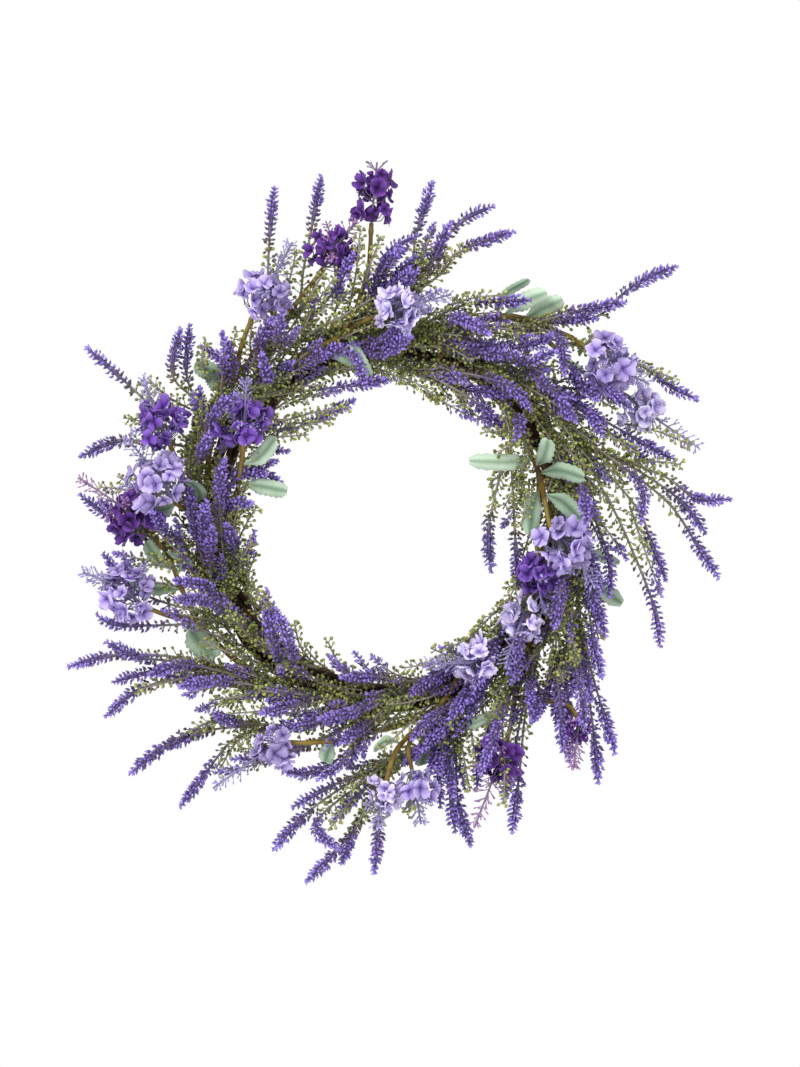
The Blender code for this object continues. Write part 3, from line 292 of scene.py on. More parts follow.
# Each leafy stem: its fork, the way from there to each blossom, and its leaves with the width of each
leafyStems = {
    "leafy_stem_top": ((-35, 134, -43), {
        "blossom_top": [(-20, 155), (-13, 180)],
        "blossom_top_front": [(-14, 146)],
    }, [
        ([(-40, 122), (-28, 116)], 10),
        ([(-22, 124), (-14, 108)], 8),
    ]),
    "leafy_stem_top_left": ((-114, 100), {
        "blossom_top_left_pale": [(-108, 124)],
        "blossom_top_left_dark": [(-92, 128, -34), (-66, 160, -34)],
    }, [
        ([(-118, 92), (-126, 104)], 16),
        ([(-122, 104), (-137, 112)], 14),
    ]),
    "leafy_stem_top_right": ((62, 146), {
        "blossom_right_pale": [(92, 150, -24), (125, 137, -24)],
        "blossom_right_outer": [(100, 146, -18), (140, 112, -20)],
    }, [
        ([(84, 154), (112, 165)], 13),
        ([(98, 148), (124, 160)], 13),
        ([(76, 160), (99, 174)], 7),
        ([(126, 120), (139, 112)], 6),
    ]),
    "leafy_stem_right": ((112, 32), {
        "blossom_right_front": [(114, 14)],
        "blossom_right_violet": [(109, 8, -44), (108, -12, -50)],
    }, [
        ([(96, 40, -62), (64, 42, -70)], 12),
        ([(106, 22, -60), (103, -6, -68)], 13),
        ([(122, 20, -62), (137, 3, -72)], 13),
        ([(115, 42, -62), (116, 54, -66)], 12),
        ([(124, 40, -60), (138, 33, -66)], 12),
    ]),
    "leafy_stem_inner_right": ((108, -40), {
        "blossom_lower_right": [(106, -52)],
        "blossom_lower_right_pale": [(103, -66, -38), (90, -88, -44)],
    }, [
        ([(150, -42, -30), (169, -58, -28)], 14),
        ([(146, -24, -28), (166, -30, -24)], 8),
    ]),
    "leafy_stem_low_right": ((93, -130), {
        "blossom_low_right_dark": [(90, -148)],
        "blossom_outer_right_dark": [(112, -132, -40), (130, -134, -48)],
    }, [
        ([(80, -140), (62, -148)], 9),
    ]),
    "leafy_stem_bottom": ((24, -150), {
        "blossom_bottom": [(16, -166)],
        "blossom_bottom_pale": [(6, -168, -52)],
    }, [
        ([(30, -158), (23, -174)], 13),
        ([(2, -156), (-7, -164)], 7),
    ]),
    "leafy_stem_bottom_left": ((-16, -156), {
        "blossom_bottom_left": [(-35, -161), (-58, -162)],
    }, [
        ([(-38, -154), (-44, -172)], 12),
    ]),
    "leafy_stem_left_low": ((-142, -72), {
        "blossom_left_low": [(-160, -70)],
        "blossom_left_dark": [(-152, -48, -40), (-162, -24, -42)],
    }, [
        ([(-160, -40), (-174, -20)], 11),
        ([(-160, -56), (-187, -45)], 10),
        ([(-148, -80), (-130, -98)], 19),
        ([(-140, -34), (-154, -25)], 11),
    ]),
    "leafy_stem_left": ((-140, 2), {
        "blossom_left_pale": [(-147, 8)],
        "blossom_left_violet": [(-146, 22, -40), (-154, 42, -44)],
    }, [
        ([(-158, 2, -46), (-180, 11, -42)], 12),
        ([(-132, 14), (-142, 26)], 11),
    ]),
    "leafy_stem_inner_left": ((-112, 10), {
        "blossom_inner_left": [(-109, 28), (-106, 46)],
    }, [
        ([(-98, 38), (-84, 55)], 12),
        ([(-98, 26), (-78, 22)], 12),
    ]),
}


def unit(vector):
    return vector / max(1e-9, float(np.linalg.norm(vector)))


# Centre of the bundle at an angle round the ring, with its outward and its forward direction
def ringFrame(angle):
    outward = np.array([math.cos(angle), 0.0, math.sin(angle)])
    centre = ringRadius * outward + np.array([0.0, ringDepth, 0.0])
    return centre, outward, np.array([0.0, -1.0, 0.0])


# A point of one cane: on its centre line, or further out from the bundle's
def canePoint(cane, angle, distance=caneOrbit):
    centre, outward, forward = ringFrame(angle)
    phase = fullTurn * cane / caneCount + caneTwists * angle
    return centre + distance * (math.cos(phase) * outward + math.sin(phase) * forward)


# Catmull-Rom curve through the points, read at even steps
def smoothPath(points):
    points = [np.asarray(point, float) for point in points]
    points = [2 * points[0] - points[1]] + points + [2 * points[-1] - points[-2]]
    curve = []
    for before, start, end, after in zip(points, points[1:], points[2:], points[3:]):
        for t in np.linspace(0, 1, 16, endpoint=False):
            curve.append(0.5 * (2 * start + (end - before) * t
                                + (2 * before - 5 * start + 4 * end - after) * t ** 2
                                + (3 * start - before - 3 * end + after) * t ** 3))
    curve.append(points[-2])
    curve = np.array(curve)
    along = np.concatenate([[0], np.cumsum(np.linalg.norm(np.diff(curve, axis=0), axis=1))])
    count = max(3, int(round(along[-1] / pathStep)) + 1)
    wanted = np.linspace(0, along[-1], count)
    return np.column_stack([np.interp(wanted, along, curve[:, axis]) for axis in range(3)])


def lengthsOf(path):
    return np.concatenate([[0], np.cumsum(np.linalg.norm(np.diff(path, axis=0), axis=1))])


# Points (x, z) or (x, z, depth) as x, y, z, with the missing depths shared out along the way
def placed(points, start, endDepth):
    run = [math.hypot(start[0] - points[0][0], start[2] - points[0][1])]
    for one, other in zip(points, points[1:]):
        run.append(run[-1] + math.hypot(one[0] - other[0], one[1] - other[1]))
    result = []
    for point, distance in zip(points, run):
        share = math.sin(0.5 * math.pi * distance / run[-1])
        depth = point[2] if len(point) > 2 else start[1] + (endDepth - start[1]) * share
        result.append(np.array([point[0], depth, point[1]], float))
    return result


# A fork lies just in front of the ring, and sinks back a little away from it
def forkDepth(x, z):
    offRing = abs(math.hypot(x, z) - ringRadius)
    return ringDepth - bundleRadius - forkRise + forkSink * min(forkFar, offRing)


# Tips over the ring stand forward, those far out and far in lie back
def tipDepth(x, z, order):
    band = max(0.0, 1 - abs(math.hypot(x, z) - bulgeRadius) / bulgeWidth)
    return -(tipBack + tipBulge * band) - tipSpread * ((order * goldenShare) % 1.0)


# Chains of round beads, one chain for each stem, that are pushed apart until none touch
class StemLayout:
    def __init__(self):
        self.points, self.radii, self.owner, self.kin = [], [], [], []
        self.free, self.before, self.after, self.chains = [], [], [], {}
        self.seats, self.headBead = [], {}

    def add(self, name, node, path, radii, parent=None, pinned=0, kin=-1):
        first = len(self.points)
        last = first + len(path) - 1
        for index, (point, radius) in enumerate(zip(path, radii)):
            here = first + index
            self.points.append(point)
            self.radii.append(radius)
            self.owner.append(node[index] if isinstance(node, list) else node)
            self.kin.append(kin[index] if isinstance(kin, list) else kin)
            self.free.append(index >= pinned)
            self.before.append(here - 1 if index else (first if parent is None else parent))
            self.after.append(min(here + 1, last))
        self.chains[name] = (first, last + 1, parent)
        return last

    # Moves the beads, mostly in depth, and keeps each chain smooth and each root on its parent
    def settle(self):
        target = np.array(self.points)
        radius = np.array(self.radii)
        names = {name: index for index, name in enumerate(dict.fromkeys(self.owner))}
        owner = np.array([names[name] for name in self.owner])
        kin = np.array(self.kin)
        free = np.array(self.free)
        before, after = np.array(self.before), np.array(self.after)
        roots = [(first, parent) for first, _, parent in self.chains.values() if parent is not None]
        shift = np.zeros_like(target)
        ease = np.array([0.35, 1.0, 0.35])  # beads move mostly in depth
        for turn in range(settleRounds):
            place = target + shift
            if turn % pairRounds == 0:
                one, other = nearPairs(place, radius, owner, kin, free)
            apart = place[one] - place[other]
            distance = np.linalg.norm(apart, axis=1)
            need = radius[one] + radius[other] + clearance - distance
            touching = need > 0
            oneNow, otherNow = one[touching], other[touching]
            apart, need = apart[touching], need[touching]
            # The bead that starts in front is pushed forward, so the order in depth stays
            ahead = np.sign(target[oneNow, 1] - target[otherNow, 1] + 1e-6)
            apart[:, 1] += keepOrder * ahead * (radius[oneNow] + radius[otherNow])
            apart *= ease
            apart /= np.maximum(1e-6, np.linalg.norm(apart, axis=1))[:, None]
            share = np.where(free[oneNow] & free[otherNow], 0.5, 1.0)
            push = apart * (need * share)[:, None]
            total = np.zeros_like(shift)
            count = np.zeros(len(shift))
            np.add.at(total, oneNow, push)
            np.add.at(total, otherNow, -push)
            np.add.at(count, oneNow, 1)
            np.add.at(count, otherNow, 1)
            shift += pushGain * total / np.maximum(1, count)[:, None] * free[:, None]
            # A chain bends smoothly: each shift is drawn to the mean of its neighbours'
            for _ in range(2 if turn < smoothShare * settleRounds else 1):
                mean = 0.5 * (shift[before] + shift[after])
                shift = np.where(free[:, None], 0.5 * shift + 0.5 * mean, shift)
            if turn < drawnShare * settleRounds:
                shift *= np.array(drawBack)
            depth = target[:, 1] + shift[:, 1]
            low, high = frontDepth + radius, wallDepth - radius
            shift[:, 1] = np.where(free, np.clip(depth, low, high) - target[:, 1], shift[:, 1])
            for first, parent in roots:
                shift[first] = shift[parent]
        return target + shift

    # The settled way of every stem and leaf, with each blossom's split off where its head starts
    def paths(self):
        settled = self.settle()
        paths = {name: settled[first:last] for name, (first, last, _) in self.chains.items()}
        for blossom, bead in self.headBead.items():
            paths[blossom + ".stem"] = paths[blossom][: bead + 1]
            paths[blossom] = paths[blossom][bead:]
        return paths


# Pairs of beads of different nodes that are close enough to matter
def nearPairs(place, radius, owner, kin, free):
    ones, others = [], []
    squares = (place ** 2).sum(axis=1)
    for start in range(0, len(place), 800):
        block = slice(start, start + 800)
        gap = squares[block, None] + squares[None] - 2 * place[block] @ place.T
        reach = radius[block, None] + radius[None] + pairMargin
        one, other = np.nonzero(gap < reach ** 2)
        one += start
        keep = (one < other) & (owner[one] != owner[other]) & (free[one] | free[other])
        keep &= (kin[one] < 0) | (kin[one] != kin[other])
        ones.append(one[keep])
        others.append(other[keep])
    return np.concatenate(ones), np.concatenate(others)


# Three points that lie along the crest of one cane, upstream of the angle
def seatOn(cane, angle, radius):
    reach = bundleRadius + seatGap + 0.9 * radius
    return [canePoint(cane, angle + turn, reach) for turn in (footReach, 0.5 * footReach, 0)]


# The seat upstream of the fork that faces forward and is clear of the stems seated so far
def freeSeat(fork, radius, turn, taken):
    upstream = math.atan2(fork[2], fork[0]) + turn
    step = fullTurn / caneSegments
    tight, further, back = seatCosts
    found = []
    for shift in (0, 1, -1, 2, -2, 3):
        angle = step * (round(upstream / step) + shift)
        for cane in range(caneCount):
            forward = (canePoint(cane, angle)[1] - ringDepth) / caneOrbit
            if forward > -0.45:  # the cane lies at the back or at the side of the bundle here
                continue
            seat = seatOn(cane, angle, radius)
            rise = unit(fork - seat[-1])
            way = seat + [seat[-1] + pathStep * stepOut * rise for stepOut in range(1, 6)]
            gaps = [np.linalg.norm(one - other) - radius - wide for one in way for other, wide in taken]
            spare = min([footSpare] + gaps)
            cost = tight * (footSpare - spare) + further * abs(shift) + back * forward
            found.append((cost, len(found), seat, way))
    _, _, seat, way = min(found)
    taken += [(point, radius) for point in way]
    return seat


# Seats a stem on the ring and runs it round to its fork; returns the bead at the fork
def addFoot(layout, node, fork, radius, turn):
    seat = freeSeat(fork, radius, turn, layout.seats)
    start = math.atan2(seat[-1][2], seat[-1][0])
    sweep = (math.atan2(fork[2], fork[0]) - start + math.pi) % fullTurn - math.pi
    way = []
    if abs(sweep) > math.radians(20):
        for share in (0.4, 0.7):
            angle = start + share * sweep
            reach = np.hypot(*seat[-1][[0, 2]]) * (1 - share) + np.hypot(*fork[[0, 2]]) * share
            way.append(np.array([reach * math.cos(angle), fork[1], reach * math.sin(angle)]))
    path = smoothPath(seat + way + [fork])
    near = int(np.linalg.norm(path - seat[-1], axis=1).argmin())
    return layout.add(node + ".trunk", node, path, [radius] * len(path), pinned=near + 1)


# How far the buds reach from the stem, bead by bead
def spikeRadii(path):
    toTip = lengthsOf(path)[-1] - lengthsOf(path)
    dense = min(denseLength, denseShare * toTip[0])
    budded = min(buddedLength, toTip[0] - bareLeast)
    return np.where(toTip < dense, spikeRadius,
                    np.where(toTip < budded, whorlRadius - 0.3, stemRadius + 0.5))


# Every stem, spike, leaf and blossom axis of the wreath, as chains of beads to be settled clear of each
# other
def layOut():
    layout = StemLayout()
    for cane in range(caneCount):
        circle = np.linspace(0, fullTurn, 220, endpoint=False)
        path = [canePoint(cane, angle) for angle in circle]
        name = f"vine_cane_{cane + 1}"
        layout.add(name, name, path, [caneRadius + 0.2] * len(path), pinned=len(path))
    order = 0
    for node, (fork, spikes) in sprays.items():
        fork = np.array([fork[0], forkDepth(*fork), fork[1]], float)
        parent = addFoot(layout, node, fork, trunkRadius, sprayTurn)
        for index, spike in enumerate(spikes):
            order += 1
            points = placed(spike[::-1], fork, tipDepth(*spike[0][:2], order))
            root = parent - min(rootMost, int(rootBeads * index))
            path = smoothPath([layout.points[root]] + points)
            layout.add(f"{node}.spike_{index}", node, path, spikeRadii(path), root)
    for node, (fork, ways, leaves) in leafyStems.items():
        fork = np.array([fork[0], fork[2] if len(fork) > 2 else forkDepth(*fork), fork[1]], float)
        parent = addFoot(layout, node, fork, oliveRadius, leafyTurn)
        for blossom, way in ways.items():
            _, radius, root, centre, tip = blossoms[blossom]
            way = placed(way + [root], fork, root[2])
            head = [np.array([x, y, z], float) for x, z, y in (root, centre, tip)]
            path = smoothPath([fork] + way + head[1:])
            gap = [np.linalg.norm(path - point, axis=1) for point in head]
            stemEnd, middle = gap[0].argmin(), gap[1].argmin()
            radii = [oliveRadius + 0.3] * stemEnd + [tipRadius + 0.8] * (len(path) - stemEnd)
            for beside, share in ((0, 1.0), (1, 0.95), (2, 0.8)):
                radii[middle + beside] = share * radius
                radii[middle - beside] = share * radius
            for tier, reach, _ in blossomTiers.get(blossom, []):
                radii[stemEnd + int(round(tier / pathStep))] = reach
            owners = [node] * stemEnd + [blossom] * (len(path) - stemEnd)
            close = [max(0, stemEnd - headKin) <= index for index in range(len(path))]
            kin = [list(blossoms).index(blossom) if near else -1 for near in close]
            layout.add(blossom, owners, path, radii, parent, kin=kin)
            layout.headBead[blossom] = int(stemEnd)
        stems = [chain for chain in layout.chains if chain in ways or chain == node + ".trunk"]
        for index, (points, width) in enumerate(leaves):
            base = np.array([points[0][0], 0.0, points[0][1]])
            best = None
            for chain in stems:
                first, last, _ = layout.chains[chain]
                for bead in range(first, last):
                    if layout.owner[bead] == node and (best is None or off(bead, layout, base) < best[0]):
                        best = (off(bead, layout, base), bead)
            start = np.array(layout.points[best[1]])
            points = [tuple(0.5 * (one + other) for one, other in zip(*points)), points[-1]]
            path = smoothPath([start] + placed(points, start, start[1] - leafForward))
            share = np.linspace(0, 1, len(path))
            radii = np.where(share > leafStalk, leafRadius * width, leafStalkRadius)
            layout.add(f"{node}.leaf_{index}", node, path, radii, best[1])
    return layout


# How far a bead is from a leaf's base, seen from the front
def off(bead, layout, base):
    return float(np.linalg.norm((layout.points[bead] - base)[[0, 2]]))


# Two directions square to the path at each point, carried along it without twisting
def framesAlong(path):
    along = np.gradient(path, axis=0)
    along /= np.linalg.norm(along, axis=1)[:, None]
    side = np.cross(along[0], [0.0, -1.0, 0.0])
    if np.linalg.norm(side) < 0.1:
        side = np.cross(along[0], [1.0, 0.0, 0.0])
    sides = [unit(side)]
    for direction in along[1:]:
        last = sides[-1]
        sides.append(unit(last - direction * (last @ direction)))
    return along, np.array(sides), np.cross(along, sides)


layout = layOut()
paths = layout.paths()
print("stems laid out:", len(paths))


# Layout millimetres as metres of the scene
def toWorld(points):
    world = np.array(points, float) * mm
    world[:, 2] += centreZ * mm
    return world


def addObject(name, data):
    made = bpy.data.objects.new(name, data)
    bpy.context.scene.collection.objects.link(made)
    return made


# A colour as the eye reads it, from 0 to 255
def tone(red, green, blue):
    return (*((channel / 255) ** 2.2 for channel in (red, green, blue)), 1.0)


# Gives a node its inputs: a socket is linked, as is each of a list of them, and anything else is set
def setInputs(tree, node, inputs):
    for title, value in inputs.items():
        for one in value if isinstance(value, list) else [value]:
            if isinstance(one, bpy.types.NodeSocket):
                tree.links.new(one, node.inputs[title])
            else:
                node.inputs[title].default_value = one


# Adds a node with its inputs and settings, and returns its outputs
def addNode(tree, kind, inputs, **settings):
    node = tree.nodes.new(kind)
    for title, value in settings.items():
        setattr(node, title, value)
    setInputs(tree, node, inputs)
    return node.outputs


def newMaterial(name, roughness):
    made = bpy.data.materials.new(name)
    made.use_nodes = True
    shader = made.node_tree.nodes["Principled BSDF"]
    shader.inputs["Roughness"].default_value = roughness
    return made, made.node_tree, shader


def readAttribute(tree, name):
    return addNode(tree, "ShaderNodeAttribute", {}, attribute_name=name)["Fac"]


def colourRamp(tree, value, stops):
    ramp = tree.nodes.new("ShaderNodeValToRGB")
    while len(ramp.color_ramp.elements) < len(stops):
        ramp.color_ramp.elements.new(0.5)
    for element, (place, colour) in zip(ramp.color_ramp.elements, stops):
        element.position = place
        element.color = colour
    setInputs(tree, ramp, {"Fac": value})
    return ramp.outputs["Color"]


# Makes a colour darker or lighter by a value between 0 and 1
def shaded(tree, colour, value, least, most):
    spread = addNode(tree, "ShaderNodeMapRange", {"Value": value, "To Min": least, "To Max": most})
    return addNode(tree, "ShaderNodeHueSaturation", {"Color": colour, "Value": spread["Result"]})["Color"]


def noiseOn(tree, scale, detail=2.0):
    place = addNode(tree, "ShaderNodeTexCoord", {})["Object"]
    return addNode(tree, "ShaderNodeTexNoise", {"Vector": place, "Scale": scale, "Detail": detail})["Fac"]


def addBump(tree, shader, height, strength, distance):
    bump = addNode(tree, "ShaderNodeBump", {"Height": height, "Strength": strength, "Distance": distance})
    setInputs(tree, shader, {"Normal": bump["Normal"]})


# Moulded buds: olive on the lower whorls, then brown and violet up to the tip
budColours = [
    (0.00, tone(118, 142, 66)), (0.06, tone(156, 160, 92)), (0.24, tone(122, 122, 78)),
    (0.40, tone(104, 92, 88)), (0.56, tone(108, 94, 124)), (0.74, tone(113, 94, 158)),
    (1.00, tone(142, 120, 200)),
]
# Stems: grey-brown, and violet inside a head
stemColours = [
    (0.00, tone(140, 134, 114)), (0.35, tone(134, 126, 120)), (0.60, tone(114, 102, 118)),
    (1.00, tone(78, 62, 114)),
]


def budMaterial():
    made, tree, shader = newMaterial("mouldedBuds", 0.5)
    colour = colourRamp(tree, readAttribute(tree, "tint"), budColours)
    setInputs(tree, shader, {
        "Base Color": shaded(tree, colour, readAttribute(tree, "shade"), 0.4, 1.5),
        "Specular IOR Level": 0.35, "Subsurface Weight": 0.1,
        "Subsurface Radius": (0.8, 0.5, 1.0), "Subsurface Scale": 0.001,
    })
    addBump(tree, shader, noiseOn(tree, 900), 0.25, 0.0002)
    return made


def stemMaterial():
    made, tree, shader = newMaterial("mouldedStems", 0.6)
    colour = colourRamp(tree, readAttribute(tree, "tint"), stemColours)
    setInputs(tree, shader, {"Base Color": shaded(tree, colour, noiseOn(tree, 160), 0.6, 1.4)})
    addBump(tree, shader, noiseOn(tree, 700), 0.4, 0.0003)
    return made


# Paper tape in olive and brown patches
def tapeMaterial():
    made, tree, shader = newMaterial("oliveTape", 0.55)
    colour = colourRamp(tree, noiseOn(tree, 70, 4.0), [
        (0.30, tone(72, 48, 20)), (0.46, tone(112, 88, 32)),
        (0.60, tone(142, 120, 48)), (0.78, tone(96, 98, 44)),
    ])
    setInputs(tree, shader, {"Base Color": shaded(tree, colour, readAttribute(tree, "shade"), 0.45, 1.4)})
    addBump(tree, shader, noiseOn(tree, 520, 3.0), 0.6, 0.0005)
    return made


def barkMaterial():
    made, tree, shader = newMaterial("vineBark", 0.85)
    fibres = noiseOn(tree, 260, 5.0)
    setInputs(tree, shader, {"Base Color": colourRamp(tree, fibres, [
        (0.28, tone(26, 14, 12)), (0.50, tone(58, 34, 28)),
        (0.66, tone(92, 60, 46)), (0.85, tone(126, 96, 78)),
    ])})
    addBump(tree, shader, fibres, 0.9, 0.0012)
    return made


# Sage cloth, darker along the rib (its vein line with painted shade in the crease) and pale on the edges
def leafMaterial():
    made, tree, shader = newMaterial("sageCloth", 0.8)
    colour = colourRamp(tree, readAttribute(tree, "tint"), [
        (0.0, tone(58, 78, 60)), (0.5, tone(130, 156, 130)), (1.0, tone(190, 212, 186)),
    ])
    colour = shaded(tree, colour, noiseOn(tree, 90, 3.0), 0.8, 1.2)
    setInputs(tree, shader, {"Base Color": colour, "Sheen Weight": 0.2})
    addBump(tree, shader, noiseOn(tree, 1600, 1.0), 0.35, 0.0002)
    return made


# Thin woven petals, paler at the rim and darkened in the throat with painted shade
def petalMaterial(name, throat, middle, rim):
    made, tree, shader = newMaterial(name, 0.75)
    colour = colourRamp(tree, readAttribute(tree, "tint"), [(0.0, throat), (0.4, middle), (1.0, rim)])
    colour = shaded(tree, colour, readAttribute(tree, "shade"), 0.66, 1.28)
    setInputs(tree, shader, {
        "Base Color": shaded(tree, colour, noiseOn(tree, 260, 3.0), 0.7, 1.35),
        "Sheen Weight": 0.05, "Specular IOR Level": 0.25, "Subsurface Weight": 0.15,
        "Subsurface Radius": (1.0, 0.7, 1.0), "Subsurface Scale": 0.0015,
    })
    addBump(tree, shader, noiseOn(tree, 1500, 1.0), 0.3, 0.0002)
    return made


# The plastic tip beyond a head's florets
def tipMaterial(name, low, high):
    made, tree, shader = newMaterial(name, 0.5)
    colour = colourRamp(tree, readAttribute(tree, "tint"), [(0.0, low), (1.0, high)])
    setInputs(tree, shader, {"Base Color": shaded(tree, colour, readAttribute(tree, "shade"), 0.7, 1.3)})
    addBump(tree, shader, noiseOn(tree, 900), 0.25, 0.0002)
    return made


buds = budMaterial()
stems = stemMaterial()
tape = tapeMaterial()
bark = barkMaterial()
sage = leafMaterial()
# Each cloth: its throat colour, darkened as painted shade, then its middle and its rim colour
petals = {
    "paleLilac": petalMaterial(
        "palePetals", tone(98, 80, 152), tone(160, 141, 206), tone(197, 183, 231)),
    "brightLilac": petalMaterial(
        "brightPetals", tone(130, 110, 188), tone(194, 180, 232), tone(226, 216, 248)),
    "midViolet": petalMaterial(
        "violetPetals", tone(48, 24, 88), tone(98, 62, 154), tone(132, 98, 184)),
    "darkPurple": petalMaterial(
        "purplePetals", tone(36, 14, 60), tone(78, 38, 118), tone(114, 72, 158)),
}
paleTips = tipMaterial("paleTips", tone(124, 116, 148), tone(168, 156, 210))
mauveTips = tipMaterial("mauveTips", tone(128, 112, 140), tone(170, 128, 180))
print("materials made")


# What a wire's point holds where a bud's has its kind, its size and the way it faces
noBud = (0.0, 0.0, 0.0, 0.0, 1.0, 0.0, 0.0, 1.0)


# Wires and buds of one piece: a wire is a run of points with radii, a bud is one point that faces a way
class SprigPlan:
    def __init__(self):
        self.points, self.edges, self.values = [], [], []

    def wire(self, path, radii, tints, thick=1.0, shade=0.5):
        first = len(self.points)
        radii = np.broadcast_to(radii, len(path))
        tints = np.broadcast_to(tints, len(path))
        for index, (point, radius, tint) in enumerate(zip(path, radii, tints)):
            self.points.append(point)
            self.values.append((radius, tint, shade, thick, *noBud))
            if index:
                self.edges.append((first + index - 1, first + index))

    # A wire along a path, with points only at the stations given
    def stem(self, reader, stations, radii, tints, shade=0.5):
        self.wire([reader.at(distance)[0] for distance in stations], radii, tints, 1.0, shade)

    def bud(self, point, facing, size, tint, shade, stretch=1.0, berry=1.0):
        self.points.append(point)
        self.values.append((0.0, tint, shade, 0.0, 1.0, berry, size, size, stretch * size, *facing))

    def mesh(self, name):
        made = bpy.data.meshes.new(name)
        made.from_pydata([tuple(point) for point in toWorld(self.points)], self.edges, [])
        values = np.array(self.values, np.float32)
        for column, title in enumerate(("radius", "tint", "shade", "thick", "bud", "berry")):
            made.attributes.new(title, "FLOAT", "POINT").data.foreach_set("value", values[:, column].copy())
        for first, title in ((6, "size"), (9, "facing")):
            vectors = made.attributes.new(title, "FLOAT_VECTOR", "POINT")
            vectors.data.foreach_set("vector", values[:, first:first + 3].ravel().copy())
        return made


# An empty Geometry Nodes tree with named inputs; returns what it is given and its output node
def newTree(name, sockets):
    tree = bpy.data.node_groups.new(name, "GeometryNodeTree")
    tree.interface.new_socket("Geometry", in_out="INPUT", socket_type="NodeSocketGeometry")
    for title, kind in sockets:
        tree.interface.new_socket(title, in_out="INPUT", socket_type=kind)
    tree.interface.new_socket("Geometry", in_out="OUTPUT", socket_type="NodeSocketGeometry")
    return tree, tree.nodes.new("NodeGroupInput").outputs, tree.nodes.new("NodeGroupOutput")


def named(tree, title, kind="FLOAT"):
    return addNode(tree, "GeometryNodeInputNamedAttribute", {"Name": title}, data_type=kind)["Attribute"]


# Sets a material and makes the copies real, ready for one plain mesh
def finished(tree, geometry, finish):
    real = addNode(tree, "GeometryNodeRealizeInstances", {"Geometry": geometry})["Geometry"]
    return addNode(tree, "GeometryNodeSetMaterial", {"Geometry": real, "Material": finish})["Geometry"]


# The rotation that turns +z to the way a point faces
def facingTurn(tree):
    way = named(tree, "facing", "FLOAT_VECTOR")
    return addNode(tree, "FunctionNodeAlignRotationToVector", {"Vector": way}, axis="Z")["Rotation"]


# Head buds are pointed, berries are round, and wires become round stems and finer twigs
def sprigTree():
    tree, given, result = newTree("sprig", [
        ("Bud girth", "NodeSocketFloat"), ("Bud length", "NodeSocketFloat"),
        ("Berry girth", "NodeSocketFloat"), ("Berry length", "NodeSocketFloat"),
        ("Stem sides", "NodeSocketInt"), ("Twig sides", "NodeSocketInt"),
        ("Bud finish", "NodeSocketMaterial"), ("Stem finish", "NodeSocketMaterial"),
    ])

    def split(geometry, title, domain):
        chosen = named(tree, title, "BOOLEAN")
        return addNode(tree, "GeometryNodeSeparateGeometry", {
            "Geometry": geometry, "Selection": chosen,
        }, domain=domain)

    parts = split(given["Geometry"], "bud", "POINT")
    sorts = split(parts["Selection"], "berry", "POINT")
    turned = facingTurn(tree)
    allBuds = []
    for kind, sort, sides, rings in (("Berry", "Selection", 4, 3), ("Bud", "Inverted", 5, 2)):
        ball = addNode(tree, "GeometryNodeMeshUVSphere", {"Radius": mm, "Segments": sides, "Rings": rings})
        girth = given[kind + " girth"]
        sizes = addNode(tree, "ShaderNodeCombineXYZ", {"X": girth, "Y": girth, "Z": given[kind + " length"]})
        shaped = addNode(tree, "GeometryNodeTransform", {"Geometry": ball["Mesh"], "Scale": sizes["Vector"]})
        copies = addNode(tree, "GeometryNodeInstanceOnPoints", {
            "Points": sorts[sort], "Instance": shaped["Geometry"], "Rotation": turned,
            "Scale": named(tree, "size", "FLOAT_VECTOR"),
        })
        allBuds.append(copies["Instances"])

    curves = addNode(tree, "GeometryNodeMeshToCurve", {"Mesh": parts["Inverted"]})
    thickness = split(curves["Curve"], "thick", "CURVE")
    tubes = []
    for part, sides in (("Selection", "Stem sides"), ("Inverted", "Twig sides")):
        circle = addNode(tree, "GeometryNodeCurvePrimitiveCircle", {
            "Radius": mm, "Resolution": given[sides],
        })
        tube = addNode(tree, "GeometryNodeCurveToMesh", {
            "Curve": thickness[part], "Profile Curve": circle["Curve"], "Scale": named(tree, "radius"),
            "Fill Caps": True,
        })
        tubes.append(tube["Mesh"])

    painted = []
    for made, finish in ((allBuds, "Bud finish"), (tubes, "Stem finish")):
        joined = addNode(tree, "GeometryNodeJoinGeometry", {"Geometry": made})["Geometry"]
        painted.append(finished(tree, joined, given[finish]))
    whole = addNode(tree, "GeometryNodeJoinGeometry", {"Geometry": painted})["Geometry"]
    smooth = addNode(tree, "GeometryNodeSetShadeSmooth", {"Geometry": whole})["Geometry"]
    setInputs(tree, result, {"Geometry": smooth})
    return tree


# Runs a tree on a mesh and returns the plain mesh that comes out of it
def grown(mesh, tree, values):
    holder = addObject(mesh.name, mesh)
    modifier = holder.modifiers.new("grow", "NODES")
    modifier.node_group = tree
    for socket in tree.interface.items_tree:
        if socket.item_type == "SOCKET" and socket.in_out == "INPUT" and socket.name in values:
            modifier[socket.identifier] = values[socket.name]
    graph = bpy.context.evaluated_depsgraph_get()
    result = bpy.data.meshes.new_from_object(holder.evaluated_get(graph))
    bpy.data.objects.remove(holder)
    return result


# Joins meshes into one piece that replaces its solid, and returns how many triangles it has
def makePiece(name, meshes, node):
    parts = [addObject(f"{name}_{index}", mesh) for index, mesh in enumerate(meshes)]
    if len(parts) > 1:
        with bpy.context.temp_override(active_object=parts[0], selected_editable_objects=parts):
            bpy.ops.object.join()
    piece = parts[0]
    piece.name = piece.data.name = name
    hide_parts(node)
    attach(piece, "root")
    return sum(len(face.vertices) - 2 for face in piece.data.polygons)


